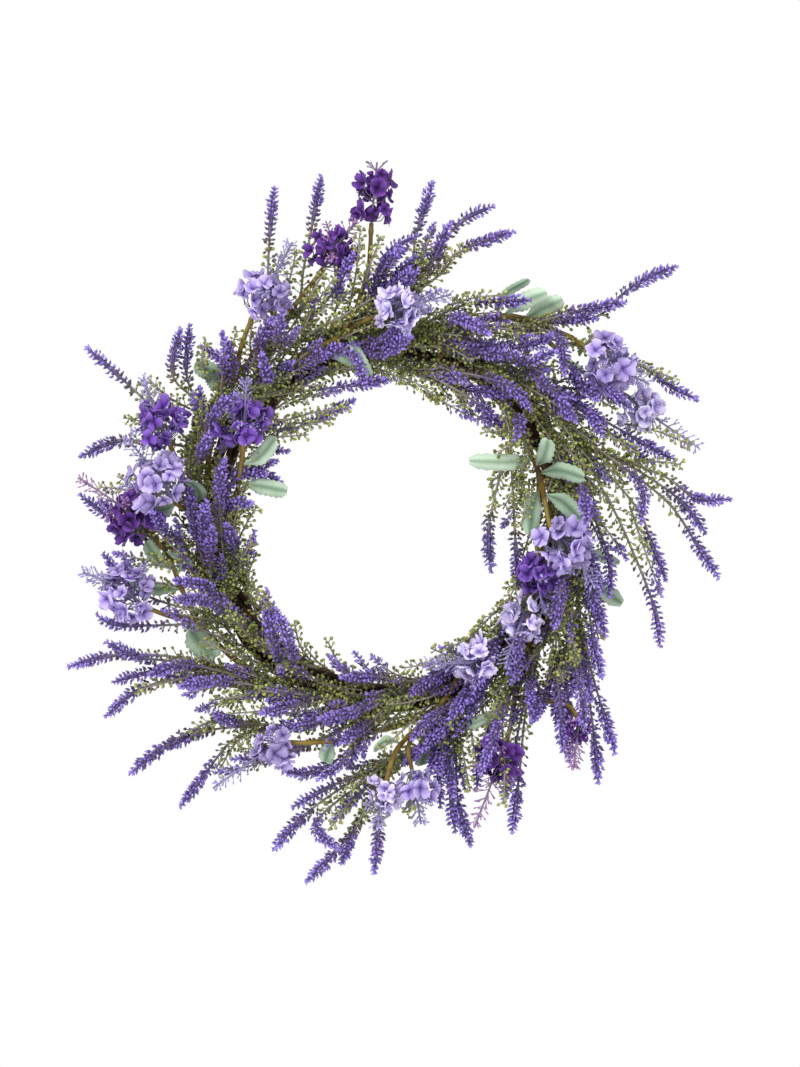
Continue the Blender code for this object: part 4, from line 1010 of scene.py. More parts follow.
# A path with its lengths and frames worked out once, read at any distance along it
class PathReader:
    def __init__(self, path):
        self.path = np.array(path)
        self.run = lengthsOf(self.path)
        self.total = self.run[-1]
        self.along, self.side, self.up = framesAlong(self.path)

    def at(self, distance):
        read = [np.array([np.interp(distance, self.run, values[:, axis]) for axis in range(3)])
                for values in (self.path, self.along, self.side, self.up)]
        return read[0], unit(read[1]), unit(read[2]), unit(read[3])

    def stations(self, gap):
        return np.linspace(0, self.total, max(3, int(self.total / gap) + 1))


sprig = sprigTree()
twigSides = 3
seeds = {"ring": 77, "floret": 50, "spray": 2000, "blossom": 3000, "leafy": 4000, "cane": 5000}


# The stems, twigs and buds of a plan as one plain mesh
def sprigMesh(plan, name, stemSides, budFinish, stemFinish, bud=(1.0, 1.0), berry=(1.0, 1.0)):
    return grown(plan.mesh(name), sprig, {
        "Bud girth": bud[0], "Bud length": bud[1], "Berry girth": berry[0], "Berry length": berry[1],
        "Stem sides": stemSides, "Twig sides": twigSides,
        "Bud finish": budFinish, "Stem finish": stemFinish,
    })


lavender = {
    "bud": (1.08, 2.2),  # mm, half the width and half the length of a pointed bud in a head
    "berry": (1.26, 1.95),  # mm, the same of a round bud on a twig
    "berryTint": 0.36,  # more violet buds than this are pointed
    "stemRadius": 0.95,
    "stemSides": 5,
    "violetLength": (31, 49),  # mm from the tip that stay violet
    "violetExtra": 16.0,  # and how much more in the most violet sprays
    "brownLength": (16, 32),  # mm over which violet turns to olive
    "violetFade": 0.34,  # how much of the tip's violet is gone where the brown starts
    "brownTint": 0.62,
    "headedShare": 0.38,  # of the side stems that end in a small violet head
}
goldenTurn = math.pi * (3 - math.sqrt(5))


# How violet a bud is by its distance from the tip: 1 at the tip, 0 where it is olive
def tintAt(toTip, violet, brown):
    if toTip < violet:
        return 1.0 - lavender["violetFade"] * (toTip / violet) ** 1.5
    return max(0.0, lavender["brownTint"] * (1 - (toTip - violet) / brown))


def roundAbout(angle, side, up):
    return math.cos(angle) * side + math.sin(angle) * up


# The way of one of several that stand evenly round a stem, give or take a little
def spreadAbout(turn, index, count, loose, side, up, rng):
    return roundAbout(turn + fullTurn * (index + rng.uniform(-loose, loose)) / count, side, up)


def anyOffset(rng):
    return np.array([rng.uniform(-1, 1) for _ in range(3)])


# The girth of a head at a distance from its blunt tip
def girthAt(toTip, girth, blunt, taper):
    return girth * min(1.0, blunt + toTip / taper)


twig = {
    "radius": 0.45,
    "taper": 0.8,  # the radius of its tip, as a share
    "tintRise": 0.06,  # how much more violet a bud may be than its place says
    "budSize": (0.85, 1.15),
    "stretch": (0.72, 0.28),  # length of an olive bud, and how much longer a violet one is
    "budOut": 0.8,  # mm from the twig's tip to the middle of its bud
    "forkStart": (0.3, 0.65),  # where a fork leaves and how long it is, as shares of the twig
    "forkLength": (0.4, 0.65),
    "forkBud": 0.9,
    "forkOut": 0.7,
}


# A twig that leaves a stem and carries a bud at its end, and smaller ones where it forks
def addTwig(plan, root, way, length, tint, rng, forks):
    tip = root + length * way
    tint = min(1.0, tint + rng.uniform(0, twig["tintRise"]))
    radii = [twig["radius"], twig["taper"] * twig["radius"]]
    size = rng.uniform(*twig["budSize"])
    stretch = twig["stretch"][0] + twig["stretch"][1] * tint
    berry = 1.0 if tint < lavender["berryTint"] else 0.0
    plan.wire([root, tip], radii, tint, 0.0)
    plan.bud(tip + twig["budOut"] * way, way, size, tint, rng.random(), stretch, berry)
    for _ in range(forks):
        start = root + rng.uniform(*twig["forkStart"]) * length * way
        side = unit(way + anyOffset(rng))
        end = start + rng.uniform(*twig["forkLength"]) * length * side
        plan.wire([start, end], radii, tint, 0.0)
        budAt = end + twig["forkOut"] * side
        plan.bud(budAt, side, twig["forkBud"] * size, tint, rng.random(), stretch, berry)


whorl = {
    "twigs": 3,
    "gap": 5.1,  # mm between whorls below the head, and more lower down
    "uneven": (0.8, 1.2),  # how much a gap varies
    "widening": (0.8, 0.07),  # of a gap, and more for each mm of twig
    "turn": (1.1, 0.8),  # from one whorl to the next, and how much more at most
    "loose": 0.2,
    "lean": (0.5, 1.0),  # how far its twigs lean towards the tip
    "twigShare": (0.7, 1.15),
    "forking": 0.5,  # of the twigs that fork
}


# Whorls of twigs along a stretch of a stem, closer together near the head
def addWhorls(plan, reader, near, far, tintOf, lengthOf, rng,
              count=whorl["twigs"], gap=whorl["gap"], forking=whorl["forking"]):
    distance = near
    turn = rng.uniform(0, fullTurn)
    while distance < far:
        centre, along, side, up = reader.at(distance)
        turn += whorl["turn"][0] + rng.uniform(0, whorl["turn"][1])
        length = lengthOf(distance)
        for index in range(count):
            outward = spreadAbout(turn, index, count, whorl["loose"], side, up, rng)
            way = unit(outward + rng.uniform(*whorl["lean"]) * along)
            forks = 1 if rng.random() < forking else 0
            twigLength = length * rng.uniform(*whorl["twigShare"])
            addTwig(plan, centre, way, twigLength, tintOf(distance), rng, forks)
        widening = whorl["widening"][0] + whorl["widening"][1] * length
        distance += gap * rng.uniform(*whorl["uneven"]) * widening


budHead = {
    "tierGaps": (2.4, 3.3),  # mm between tiers of buds, in a full head and in an open one
    "tierBuds": 8,
    "uneven": (1.4, 0.8),  # mm that a bud strays along a full head, and how much less in an open one
    "looseFrom": (0.74, 0.26),  # where the loose part of a head starts, as a share of it, in the same way
    "looseBuds": 0.75,  # of a tier's buds, in the loose part
    "looseGap": 1.25,
    "loose": 0.3,
    "budReach": (0.68, 1.1),  # how far out a bud's tip comes, as a share of the girth
    "budSunk": 1.5,  # mm from there to the bud's middle
    "lean": (0.4, 1.0),
    "budSize": (0.76, 1.18),
    "shadeShift": 0.12,  # how much darker or lighter a head is than the next
    "stalkFrom": 4.5,  # mm of girth from which its loose buds have stalks
    "stalk": (0.4, 0.35),  # mm, the radius of a stalk at its root and its tip
    "firstTier": 1.0,
}


# The dense head of a spike: tiers of buds, thicker a little below the tip
def addHead(plan, reader, dense, girthOf, tintOf, rng):
    shift = rng.uniform(-budHead["shadeShift"], budHead["shadeShift"])
    full, opened = budHead["tierGaps"]
    gap = rng.uniform(full, opened)
    openness = (gap - full) / (opened - full)
    uneven = budHead["uneven"][0] - budHead["uneven"][1] * openness
    looseFrom = budHead["looseFrom"][0] - budHead["looseFrom"][1] * openness
    toTip = budHead["firstTier"]
    turn = rng.uniform(0, fullTurn)
    while toTip < dense:
        centre, along, side, up = reader.at(reader.total - toTip)
        loose = toTip > looseFrom * dense
        girth = girthOf(toTip)
        share = (girth / spikeRadius) * (budHead["looseBuds"] if loose else 1.0)
        count = max(3, round(budHead["tierBuds"] * share))
        turn += goldenTurn
        for index in range(count):
            outward = spreadAbout(turn, index, count, budHead["loose"], side, up, rng)
            out = girth * rng.uniform(*budHead["budReach"]) - budHead["budSunk"]
            height = rng.uniform(-uneven, uneven)
            point = centre + out * outward + height * along
            way = unit(outward + rng.uniform(*budHead["lean"]) * along)
            shade = min(1.0, max(0.0, rng.random() + shift))
            plan.bud(point, way, rng.uniform(*budHead["budSize"]), tintOf(toTip), shade, berry=0.0)
            if loose and girth > budHead["stalkFrom"]:
                plan.wire([centre, point], budHead["stalk"], tintOf(toTip), 0.0)
        toTip += gap * (budHead["looseGap"] if loose else 1.0)
    end, along, _, _ = reader.at(reader.total)
    plan.bud(end - 0.6 * along, along, 0.9, 1.0, 0.7, berry=0.0)  # the bud that closes the tip


room = {
    "holeRadius": 99.0,  # mm from the wreath's centre, which added stems stay outside
    "frontmost": -88.0,  # and they stay between these two depths
    "rearmost": -8.0,
}
sideStem = {
    "reach": (0.2, 0.34),  # how far it swings out, as a share of its length
    "tries": 8,  # ways that are tried before it is left out
    "taper": 0.6,
    "tint": 0.2,
    "firstWhorl": 5,  # mm from its root
    "twigLength": (5.6, 1.6),  # mm at its root, and how much less at its tip
    "headLength": (12, 22),
    "head": (4.4, 0.45, 14),  # mm of girth, the tip's bluntness, and the mm over which it thickens
    "violetPast": 4,  # mm of violet below the head, then the mm over which it turns olive
    "brown": 14,
    "oliveTint": 0.06,
}
outCurve = 1.4  # how late a stem beside another swings away from it


# A side stem that leaves a spike low down and runs beside it, with whorls and sometimes a small head
def addCompanion(plan, reader, start, length, rng):
    _, _, side, up = reader.at(start)
    angle = rng.uniform(0, fullTurn)
    reach = rng.uniform(*sideStem["reach"]) * length
    for _ in range(sideStem["tries"]):
        way = roundAbout(angle, side, up)
        end = reader.at(start + length)[0] + reach * way
        if math.hypot(end[0], end[2]) > room["holeRadius"] and room["frontmost"] < end[1] < room["rearmost"]:
            break
        angle += goldenTurn
    else:
        return
    points = []
    for share in np.linspace(0, 1, 7):
        points.append(reader.at(start + share * length)[0] + reach * share ** outCurve * way)
    addSideStem(plan, smoothPath(points), rng, rng.random() < lavender["headedShare"])


def addSideStem(plan, points, rng, headed):
    path = PathReader(points)
    dense = rng.uniform(*sideStem["headLength"]) if headed else 0.0
    radius = lavender["stemRadius"]
    stations = path.stations(7)
    radii = np.linspace(radius, sideStem["taper"] * radius, len(stations))
    plan.stem(path, stations, radii, sideStem["tint"])

    def violetAt(toTip):
        return tintAt(toTip, dense + sideStem["violetPast"], sideStem["brown"])

    def tintOf(distance):
        return violetAt(path.total - distance) if headed else sideStem["oliveTint"] * rng.random()

    def lengthOf(distance):
        return sideStem["twigLength"][0] - sideStem["twigLength"][1] * distance / path.total

    addWhorls(plan, path, sideStem["firstWhorl"], path.total - dense, tintOf, lengthOf, rng)
    if headed:
        addHead(plan, path, dense, lambda toTip: girthAt(toTip, *sideStem["head"]), violetAt, rng)


spike = {
    "fullLength": 90,  # mm; a shorter one has less violet
    "head": (spikeRadius, 0.42, 18),  # mm of girth, the tip's bluntness, the mm over which it thickens
    "core": (1.8, 0.2, 14),  # the same for the solid middle of its head
    "corePart": 0.85,  # of the head, from the tip, that has the core
    "firstWhorl": 8,  # mm from the fork
    "twigLength": (3.2, 3.4),  # mm below the head, and how much more lower down
    "twigGrowth": 40,  # mm over which they grow
    "sideFrom": 34,  # mm of stem below the head from which it has a side stem
    "sideStart": (0.04, 0.3),  # where it leaves, as a share of that stem
    "sideLength": (34, 58),
    "sideMost": 0.96,
}


# One spike: its stem, the dense head and the looser whorls down to the fork
def addSpike(plan, path, rng, longer):
    reader = PathReader(path)
    total = reader.total
    dense = min(denseLength, denseShare * total)
    violet = (longer + rng.uniform(*lavender["violetLength"])) * min(1.0, total / spike["fullLength"])
    brown = rng.uniform(*lavender["brownLength"])

    def violetAt(toTip):
        return tintAt(toTip, violet, brown)

    def tintOf(distance):
        return violetAt(total - distance)

    def lengthOf(distance):
        growth = min(1.0, (total - distance - dense) / spike["twigGrowth"])
        return spike["twigLength"][0] + spike["twigLength"][1] * growth

    stations = reader.stations(6)
    radii = []
    for distance in stations:
        toTip = total - distance
        inHead = toTip < spike["corePart"] * dense
        radii.append(girthAt(toTip, *spike["core"]) if inHead else lavender["stemRadius"])
    plan.stem(reader, stations, radii, [tintOf(distance) for distance in stations])
    addHead(plan, reader, dense, lambda toTip: girthAt(toTip, *spike["head"]), violetAt, rng)
    addWhorls(plan, reader, spike["firstWhorl"], total - dense, tintOf, lengthOf, rng)
    bare = total - dense
    if bare > spike["sideFrom"]:
        start = rng.uniform(*spike["sideStart"]) * bare
        length = min(rng.uniform(*spike["sideLength"]), spike["sideMost"] * bare - start)
        addCompanion(plan, reader, start, length, rng)


# Stems that fill the sprays, beside the solids' own
fill = {
    "ringSprigs": 184,  # short olive stems pushed into the ring, all round it
    "ringTurn": (0.24, 0.40),  # how far each runs round the ring
    "lanes": ((119, -17), (130, 2), (138, 26), (144, 14)),  # mm: where each starts, how far it drifts out
    "ringRise": (14, 46),  # mm that its tip stands in front of the ring
    "ringRoot": 7,  # and how far its root does
    "driftShare": (0.3, 1.4),
    "ringHeaded": 0.28,  # of the short and side stems that end in a small violet head
    "sideDepth": (-62, -38),  # mm in front of the wall, at a side stem's tip
    "overDepth": (-74, -60),  # and at the tip of a spike that lies over the ring
    "rootDepth": -25.0,
    "arch": 6,  # mm that its middle stands in front of its tip
    "swing": (10, 17),  # mm that a spike beside another swings out
    "besideShare": (0.72, 0.92),  # of the other's length
}
# More full spikes in the sprays that are thickest in the photo
extraSpikes = {
    "lavender_lower_right_outer": 4, "lavender_lower_right": 3, "lavender_inner_lower_right": 4,
    "lavender_bottom_right": 5, "lavender_right_middle": 3, "lavender_top_middle": 5,
    "lavender_top_right": 2, "lavender_left_middle": 3, "lavender_inner_left": 2,
    "lavender_bottom_left": 4, "lavender_right_upper": 2,
}
# Spikes that lie over the ring and hide what is behind them, each from its root to its tip as (x, z)
frontSpikes = {
    "lavender_top_right": [[(92, 116), (135, 73)], [(122, 118), (177, 79)]],
    "lavender_right_middle": [[(128, -16), (120, -80)], [(116, -40), (87, -112)]],
    "lavender_lower_right_outer": [[(122, -92), (127, -168)], [(132, -88), (142, -154)]],
    "lavender_inner_lower_right": [[(88, -66), (61, -126)]],
    "lavender_lower_right": [[(92, -118), (66, -184)]],
    "lavender_left_lower": [[(-72, -120), (-89, -60)], [(-64, -120), (-81, -64)]],
    "lavender_bottom": [[(8, -124), (-47, -146)]],
}
# Sprays whose spikes stay violet further down
violetSprays = (
    "lavender_lower_right", "lavender_lower_right_outer", "lavender_inner_lower_right",
    "lavender_bottom_right", "lavender_right_middle", "lavender_left_middle", "lavender_top_middle",
    "lavender_top_right", "lavender_right_upper", "lavender_left_lower", "lavender_inner_top_left",
    "lavender_top_right_outer",
)
# Side stems that fill out a spray, each from its root to its tip as (x, z)
sideStems = {
    "lavender_inner_right": [
        [(98, 60), (80, 48)], [(100, 40), (84, 8)], [(104, 30), (96, -4)], [(106, 10), (98, -28)],
        [(96, 66), (70, 64)], [(100, 22), (83, -6)], [(96, 46), (74, 26)],
    ],
    "lavender_inner_top": [
        [(0, 108), (38, 88)], [(24, 96), (64, 72)], [(50, 92), (78, 68)], [(-12, 112), (20, 96)],
    ],
    "lavender_inner_top_left": [
        [(-95, 60), (-58, 62)], [(-100, 44), (-80, 43)], [(-85, 66), (-40, 74)], [(-80, 72), (-28, 82)],
        [(-72, 86), (-34, 94)], [(-102, 54), (-72, 50)],
    ],
    "lavender_inner_left": [[(-112, -20), (-97, 8)], [(-112, 5), (-97, 36)]],
    "lavender_inner_lower_right": [
        [(98, -38), (84, -64)], [(92, -58), (64, -82)], [(74, -78), (40, -94)], [(48, -100), (10, -108)],
    ],
    "lavender_top_left": [
        [(-78, 160), (-67, 198)], [(-70, 150), (-45, 182)], [(-60, 150), (-36, 180)],
        [(-100, 118), (-98, 150)], [(-62, 132), (-12, 160)], [(-50, 127), (2, 148)],
        [(-68, 138), (-26, 166)],
    ],
    "lavender_top_middle": [
        [(-30, 150), (-20, 212)], [(-40, 150), (-34, 176)], [(-10, 172), (8, 200)],
        [(-22, 160), (-5, 206)],
    ],
    "lavender_top_crown": [[(20, 180), (34, 216)], [(38, 180), (56, 198)]],
    "lavender_left_upright": [[(-124, 105), (-110, 138)], [(-132, 104), (-132, 131)]],
    "lavender_left_upper": [[(-146, 82), (-176, 104)], [(-160, 62), (-190, 74)]],
    "lavender_left_middle": [
        [(-160, 15), (-198, 32)], [(-165, -8), (-204, -8)], [(-150, -30), (-200, -24)],
        [(-145, -36), (-184, -34)], [(-172, 18), (-206, 24)],
    ],
    "lavender_left_lower": [[(-150, -50), (-190, -42)], [(-96, -58), (-76, -82)], [(-104, -44), (-84, -68)]],
    "lavender_left_low": [
        [(-110, -118), (-150, -128)], [(-105, -128), (-140, -138)], [(-130, -112), (-182, -124)],
        [(-84, -126), (-128, -131)], [(-76, -136), (-116, -141)],
    ],
    "lavender_left_lower_fan": [[(-80, -130), (-116, -134)], [(-80, -152), (-112, -162)]],
    "lavender_bottom_left": [[(-60, -165), (-106, -166)], [(-80, -172), (-126, -184)]],
    "lavender_bottom": [[(-10, -150), (-18, -174)], [(-22, -200), (-42, -224)]],
    "lavender_bottom_right": [[(52, -150), (60, -198)], [(60, -145), (66, -182)], [(20, -185), (14, -214)]],
    "lavender_lower_right": [[(84, -150), (84, -206)], [(92, -136), (88, -170)]],
    "lavender_lower_right_outer": [[(124, -70), (117, -118)]],
    "lavender_right_middle": [[(150, -40), (154, -88)]],
    "lavender_right_upper": [
        [(170, 72), (222, 54)], [(150, 66), (180, 49)], [(125, 96), (142, 68)], [(136, 102), (166, 80)],
    ],
    "lavender_right_outer": [[(178, 10), (199, -56)]],
    "lavender_top_right": [
        [(92, 122), (124, 109)], [(72, 138), (106, 127)], [(44, 158), (86, 163)], [(48, 150), (82, 152)],
    ],
    "lavender_top_right_outer": [[(140, 124), (150, 136)], [(168, 120), (208, 104)]],
}


# A spike beside one of the spray's own, a little shorter, that swings out to one side
def besideSpike(path, rng):
    reader = PathReader(path)
    _, _, side, up = reader.at(0.5 * reader.total)
    swing = rng.uniform(*fill["swing"]) * roundAbout(rng.uniform(0, fullTurn), side, 0.7 * up)
    length = rng.uniform(*fill["besideShare"]) * reader.total
    points = [reader.at(share * length)[0] + share ** outCurve * swing for share in np.linspace(0, 1, 8)]
    for point in points:
        point[1] = min(room["rearmost"], max(point[1], room["frontmost"]))
    return smoothPath(points)


# Where the short stems of the ring go: each belongs to the spray whose foot is nearest
def ringSprigs():
    feet = {node: paths[node + ".trunk"][0] for node in sprays}
    rng = random.Random(seeds["ring"])
    found = {node: [] for node in sprays}
    for index in range(fill["ringSprigs"]):
        angle = fullTurn * (index + rng.uniform(-0.4, 0.4)) / fill["ringSprigs"]
        start, drift = fill["lanes"][index % len(fill["lanes"])]
        start += rng.uniform(-3, 3)
        end = max(room["holeRadius"], start + drift * rng.uniform(*fill["driftShare"]))
        turn = rng.uniform(*fill["ringTurn"])
        rise = rng.uniform(*fill["ringRise"])
        points = []
        for share in (0.0, 0.25, 0.6, 1.0):
            here = angle - share * turn
            reach = start + (end - start) * share ** 1.5
            depth = ringDepth - fill["ringRoot"] - rise * math.sin(0.5 * math.pi * share)
            points.append(np.array([reach * math.cos(here), depth, reach * math.sin(here)]))
        nearest = min(feet, key=lambda node: np.linalg.norm(feet[node] - points[0]))
        found[nearest].append(smoothPath(points))
    return found


sprigsOf = ringSprigs()


# A stem that leaves the ring and arches forward to its tip
def arcBetween(root, tip, depth, rng):
    middle = [0.5 * (root[axis] + tip[axis]) + rng.uniform(-3, 3) for axis in range(2)]
    return smoothPath([
        (root[0], fill["rootDepth"], root[1]), (middle[0], depth - fill["arch"], middle[1]),
        (tip[0], depth, tip[1]),
    ])


foot = {
    "radii": (1.6, 1.2),  # mm, on the ring and at the fork
    "tint": 0.1,
    "firstWhorl": 14,  # mm from its end on the ring
    "twigLength": 7.5,
    "twigTint": 0.05,
    "sideAt": (0.3, 0.45, 0.6, 0.75),  # where side stems leave it, as shares of its length
    "sideRoom": 18,  # mm that one needs
    "sideLength": (22, 38),
}


def makeSpray(order, node):
    rng = random.Random(seeds["spray"] + order)
    plan = SprigPlan()
    trunk = PathReader(paths[node + ".trunk"])
    stations = trunk.stations(7)
    plan.stem(trunk, stations, np.linspace(*foot["radii"], len(stations)), foot["tint"])
    addWhorls(plan, trunk, foot["firstWhorl"], trunk.total,
              lambda distance: foot["twigTint"] * rng.random(), lambda distance: foot["twigLength"], rng)
    for share in foot["sideAt"]:
        left = (1 - share) * trunk.total
        if left > foot["sideRoom"]:
            addCompanion(plan, trunk, share * trunk.total, min(left, rng.uniform(*foot["sideLength"])), rng)
    spikes = [paths[f"{node}.spike_{index}"] for index in range(len(sprays[node][1]))]
    longest = sorted(spikes, key=len, reverse=True)
    for index in range(extraSpikes.get(node, 0)):
        spikes.append(besideSpike(longest[index % len(longest)], rng))
    for ends in frontSpikes.get(node, []):
        spikes.append(arcBetween(*ends, rng.uniform(*fill["overDepth"]), rng))
    longer = lavender["violetExtra"] if node in violetSprays else 0.0
    for path in spikes:
        addSpike(plan, path, rng, longer)
    for ends in sideStems.get(node, []):
        sprigsOf[node].append(arcBetween(*ends, rng.uniform(*fill["sideDepth"]), rng))
    for path in sprigsOf[node]:
        addSideStem(plan, path, rng, rng.random() < fill["ringHeaded"])
    mesh = sprigMesh(plan, node, lavender["stemSides"], buds, stems, lavender["bud"], lavender["berry"])
    return makePiece("spray_" + node.removeprefix("lavender_"), [mesh], node)


triangles = sum(makeSpray(order, node) for order, node in enumerate(sprays))
print("sprays made:", len(sprays), "triangles", triangles)

floret = {
    "radius": 7.8,  # mm from the throat to a petal's rim
    "petalCounts": (4, 5, 4, 5, 3, 4),
    "petalWidths": {3: 0.48, 4: 0.56, 5: 0.48},  # half of one by their count, as a share of the radius
    "petalRows": ((0.0, 0.24), (0.42, 0.88), (0.78, 1.0), (1.0, 0.5)),  # how far out, and how wide there
    "petalTurn": 0.12,
    "petalLength": (0.78, 1.14),
    "lift": (-0.05, 1.0),  # how steeply a petal rises
    "curl": (-0.7, 0.35),  # and how its end bends back or in
    "roll": (-0.5, 0.5),
    "cup": 0.3,
    "ruffle": 0.1,  # how unevenly its rim stands, as a share of its length
    "notch": (-0.04, 0.14),
    "thickness": 0.35,
}


# One floret, facing +z with its throat at the origin: cupped petals as a thin closed skin
def makeFloret(kind):
    rng = random.Random(seeds["floret"] + kind)
    body = bmesh.new()
    tint = body.verts.layers.float.new("tint")
    radius = floret["radius"]
    count = floret["petalCounts"][kind]
    widest = floret["petalWidths"][count]
    for petal in range(count):
        middle = fullTurn * petal / count + rng.uniform(-floret["petalTurn"], floret["petalTurn"])
        length = radius * rng.uniform(*floret["petalLength"])
        lift = rng.uniform(*floret["lift"])
        curl = rng.uniform(*floret["curl"])
        roll = rng.uniform(*floret["roll"])
        grid = []
        for reach, share in floret["petalRows"]:
            row = []
            for across in (-1, 0, 1):
                half = share * widest * radius
                height = length * (lift * reach + curl * reach ** 3)
                height += half * (floret["cup"] * abs(across) + roll * across)
                height += floret["ruffle"] * length * reach * rng.uniform(-1, 1)
                dip = length * (rng.uniform(*floret["notch"]) if reach == 1.0 else 0.0)
                point = Vector((reach * length - dip, across * half, height))
                point.rotate(Matrix.Rotation(middle, 3, "Z"))
                vert = body.verts.new(point * mm)
                # tint runs from the throat, which the petal finish darkens as painted shade, out to the rim
                vert[tint] = reach
                row.append(vert)
            grid.append(row)
        for low, high in zip(grid, grid[1:]):
            for here in range(2):
                body.faces.new((low[here], high[here], high[here + 1], low[here + 1]))
    mesh = bpy.data.meshes.new(f"floret_{kind}")
    body.to_mesh(mesh)
    body.free()
    made = addObject(mesh.name, mesh)
    wall = made.modifiers.new("wall", "SOLIDIFY")
    wall.thickness = floret["thickness"] * mm
    graph = bpy.context.evaluated_depsgraph_get()
    made.data = bpy.data.meshes.new_from_object(made.evaluated_get(graph))
    made.modifiers.clear()
    made.data.shade_smooth()
    return made


# Florets stand on points, each turned to face its own way and spun about it
def floretTree(florets):
    tree, given, result = newTree("florets", [("Finish", "NodeSocketMaterial")])
    shapes = [addNode(tree, "GeometryNodeObjectInfo", {"Object": one, "As Instance": True})["Geometry"]
              for one in florets]
    choice = addNode(tree, "GeometryNodeJoinGeometry", {"Geometry": shapes})["Geometry"]
    spun = addNode(tree, "FunctionNodeAxisAngleToRotation", {
        "Axis": (0, 0, 1), "Angle": named(tree, "spin"),
    })
    turned = addNode(tree, "FunctionNodeRotateRotation", {
        "Rotation": facingTurn(tree), "Rotate By": spun["Rotation"],
    }, rotation_space="LOCAL")
    copies = addNode(tree, "GeometryNodeInstanceOnPoints", {
        "Points": given["Geometry"], "Instance": choice, "Pick Instance": True,
        "Instance Index": named(tree, "kind", "INT"),
        "Rotation": turned["Rotation"], "Scale": named(tree, "size"),
    })
    setInputs(tree, result, {"Geometry": finished(tree, copies["Instances"], given["Finish"])})
    return tree


floretKinds = [makeFloret(kind) for kind in range(len(floret["petalCounts"]))]
floretsOn = floretTree(floretKinds)

blossom = {
    # Each tier's place and reach in shares of the head's radius, and its florets for each mm of it
    "tiers": ((0.28, 0.86, 0.36), (0.62, 1.08, 0.42), (1.0, 0.88, 0.34), (1.34, 0.44, 0.16)),
    "rise": (-0.1, 0.9),  # how far florets turn from square to the stem towards its tip
    "uneven": 0.12,  # how far a floret strays along the stem, as a share of the radius
    "loose": 0.3,
    "rimShare": (0.78, 1.12),  # how far out a rim comes, as a share of its tier's reach
    "lean": 0.7,  # how far florets lean off their own way
    "size": (0.66, 1.12),
    "throatShare": 0.4,  # how far the throat lies in from the rim, in radii of a floret
    "stem": (1.5, 0.8),  # mm, its radius in the head and in the tip
    "stemTint": 0.2,
    "stalkRadius": 0.45,
    "stalkDrop": 0.5,  # how far below its floret a stalk leaves the stem, as a share of the radius
    "knee": (0.16, 0.1),  # how far a stalk bends out and down, as shares of the reach
    "length": 1.55,  # a head's length for each mm of its radius
    "tipLeast": 12,  # mm of the stem beyond it
    "tipWhorls": (4, 2.8, 9, 0.7),  # twigs of one, least mm between two, how many at most, forking share
    "tipTwigs": (10, 0.6),  # mm, and how much shorter at the tip
    "tipBud": (0.85, 1.7),  # mm, half a bud's width and length
    "tipBerry": (0.85, 1.5),
}
openHead = {  # what differs where the florets stand in open tiers
    "lower": 1, "wider": 1.5, "more": 4, "rise": (-0.4, 0.4), "lean": 0.5, "stemRadius": 0.9, "past": 3,
}
tipSprig = {
    "counts": (2, 4),  # in a head under the radius below, and in a larger one
    "smallRadius": 15,
    "from": (0.25, 0.6),  # where one leaves the stem, as a share of the head
    "rise": (0.3, 1.3),
    "bend": 3,
    "length": (1.0, 1.4),  # of the head's radius
    "radius": 0.6,
    "front": -91.0,  # mm; it stays behind this depth
    "budsFrom": 0.55,
    "tints": (0.3, 0.7),  # at its root, and how much more at its tip
    "twigs": (4.6, 2.4),  # mm, and how much less at its tip
    "whorls": (3, 3.0, 0.6),  # twigs of one, mm between two, forking share
}


# Where a head's florets stand: how far up the stem, the way each faces, and how far out its rim comes
def floretPlaces(node, reader, rng):
    radius = blossoms[node][1]
    tiers = [(place * radius, reach * radius, share * radius) for place, reach, share in blossom["tiers"]]
    rise = blossom["rise"]
    if node in blossomTiers:
        tiers = [(place - openHead["lower"], reach + openHead["wider"], count + openHead["more"])
                 for place, reach, count in blossomTiers[node]]
        rise = openHead["rise"]
    places = []
    for place, reach, count in tiers:
        spin = rng.uniform(0, fullTurn)
        count = max(2, round(count))
        for index in range(count):
            distance = place + rng.uniform(-blossom["uneven"], blossom["uneven"]) * radius
            _, along, side, up = reader.at(distance)
            outward = spreadAbout(spin, index, count, blossom["loose"], side, up, rng)
            facing = unit(outward + rng.uniform(*rise) * along)
            places.append((distance, facing, reach * rng.uniform(*blossom["rimShare"])))
    return places


# Budded plastic sprigs that stand out between a head's florets
def addTipSprigs(plan, reader, length, radius, rng):
    spin = rng.uniform(0, fullTurn)
    for index in range(tipSprig["counts"][radius >= tipSprig["smallRadius"]]):
        root, along, side, up = reader.at(rng.uniform(*tipSprig["from"]) * length)
        way = unit(roundAbout(spin + goldenTurn * index, side, up) + rng.uniform(*tipSprig["rise"]) * along)
        bend = tipSprig["bend"]
        bend = rng.uniform(-bend, bend) * side + rng.uniform(-bend, bend) * up
        reach = radius * rng.uniform(*tipSprig["length"])
        points = [root, root + 0.5 * reach * way + bend, root + reach * way]
        for point in points:
            point[1] = max(point[1], tipSprig["front"])
        shoot = PathReader(smoothPath(points))
        plan.wire(shoot.path, tipSprig["radius"], blossom["stemTint"])

        def tintOf(distance):
            return tipSprig["tints"][0] + tipSprig["tints"][1] * distance / shoot.total

        def lengthOf(distance):
            return tipSprig["twigs"][0] - tipSprig["twigs"][1] * distance / shoot.total

        first = tipSprig["budsFrom"] * reach
        addWhorls(plan, shoot, first, shoot.total, tintOf, lengthOf, rng, *tipSprig["whorls"])


# Points that florets stand on, with their values and the way each faces
def setPoints(name, points, values, facings):
    made = bpy.data.meshes.new(name)
    made.from_pydata([tuple(point) for point in toWorld(points)], [], [])
    for title, (kind, column) in values.items():
        made.attributes.new(title, kind, "POINT").data.foreach_set("value", column)
    ways = made.attributes.new("facing", "FLOAT_VECTOR", "POINT")
    ways.data.foreach_set("vector", np.array(facings).ravel())
    return made


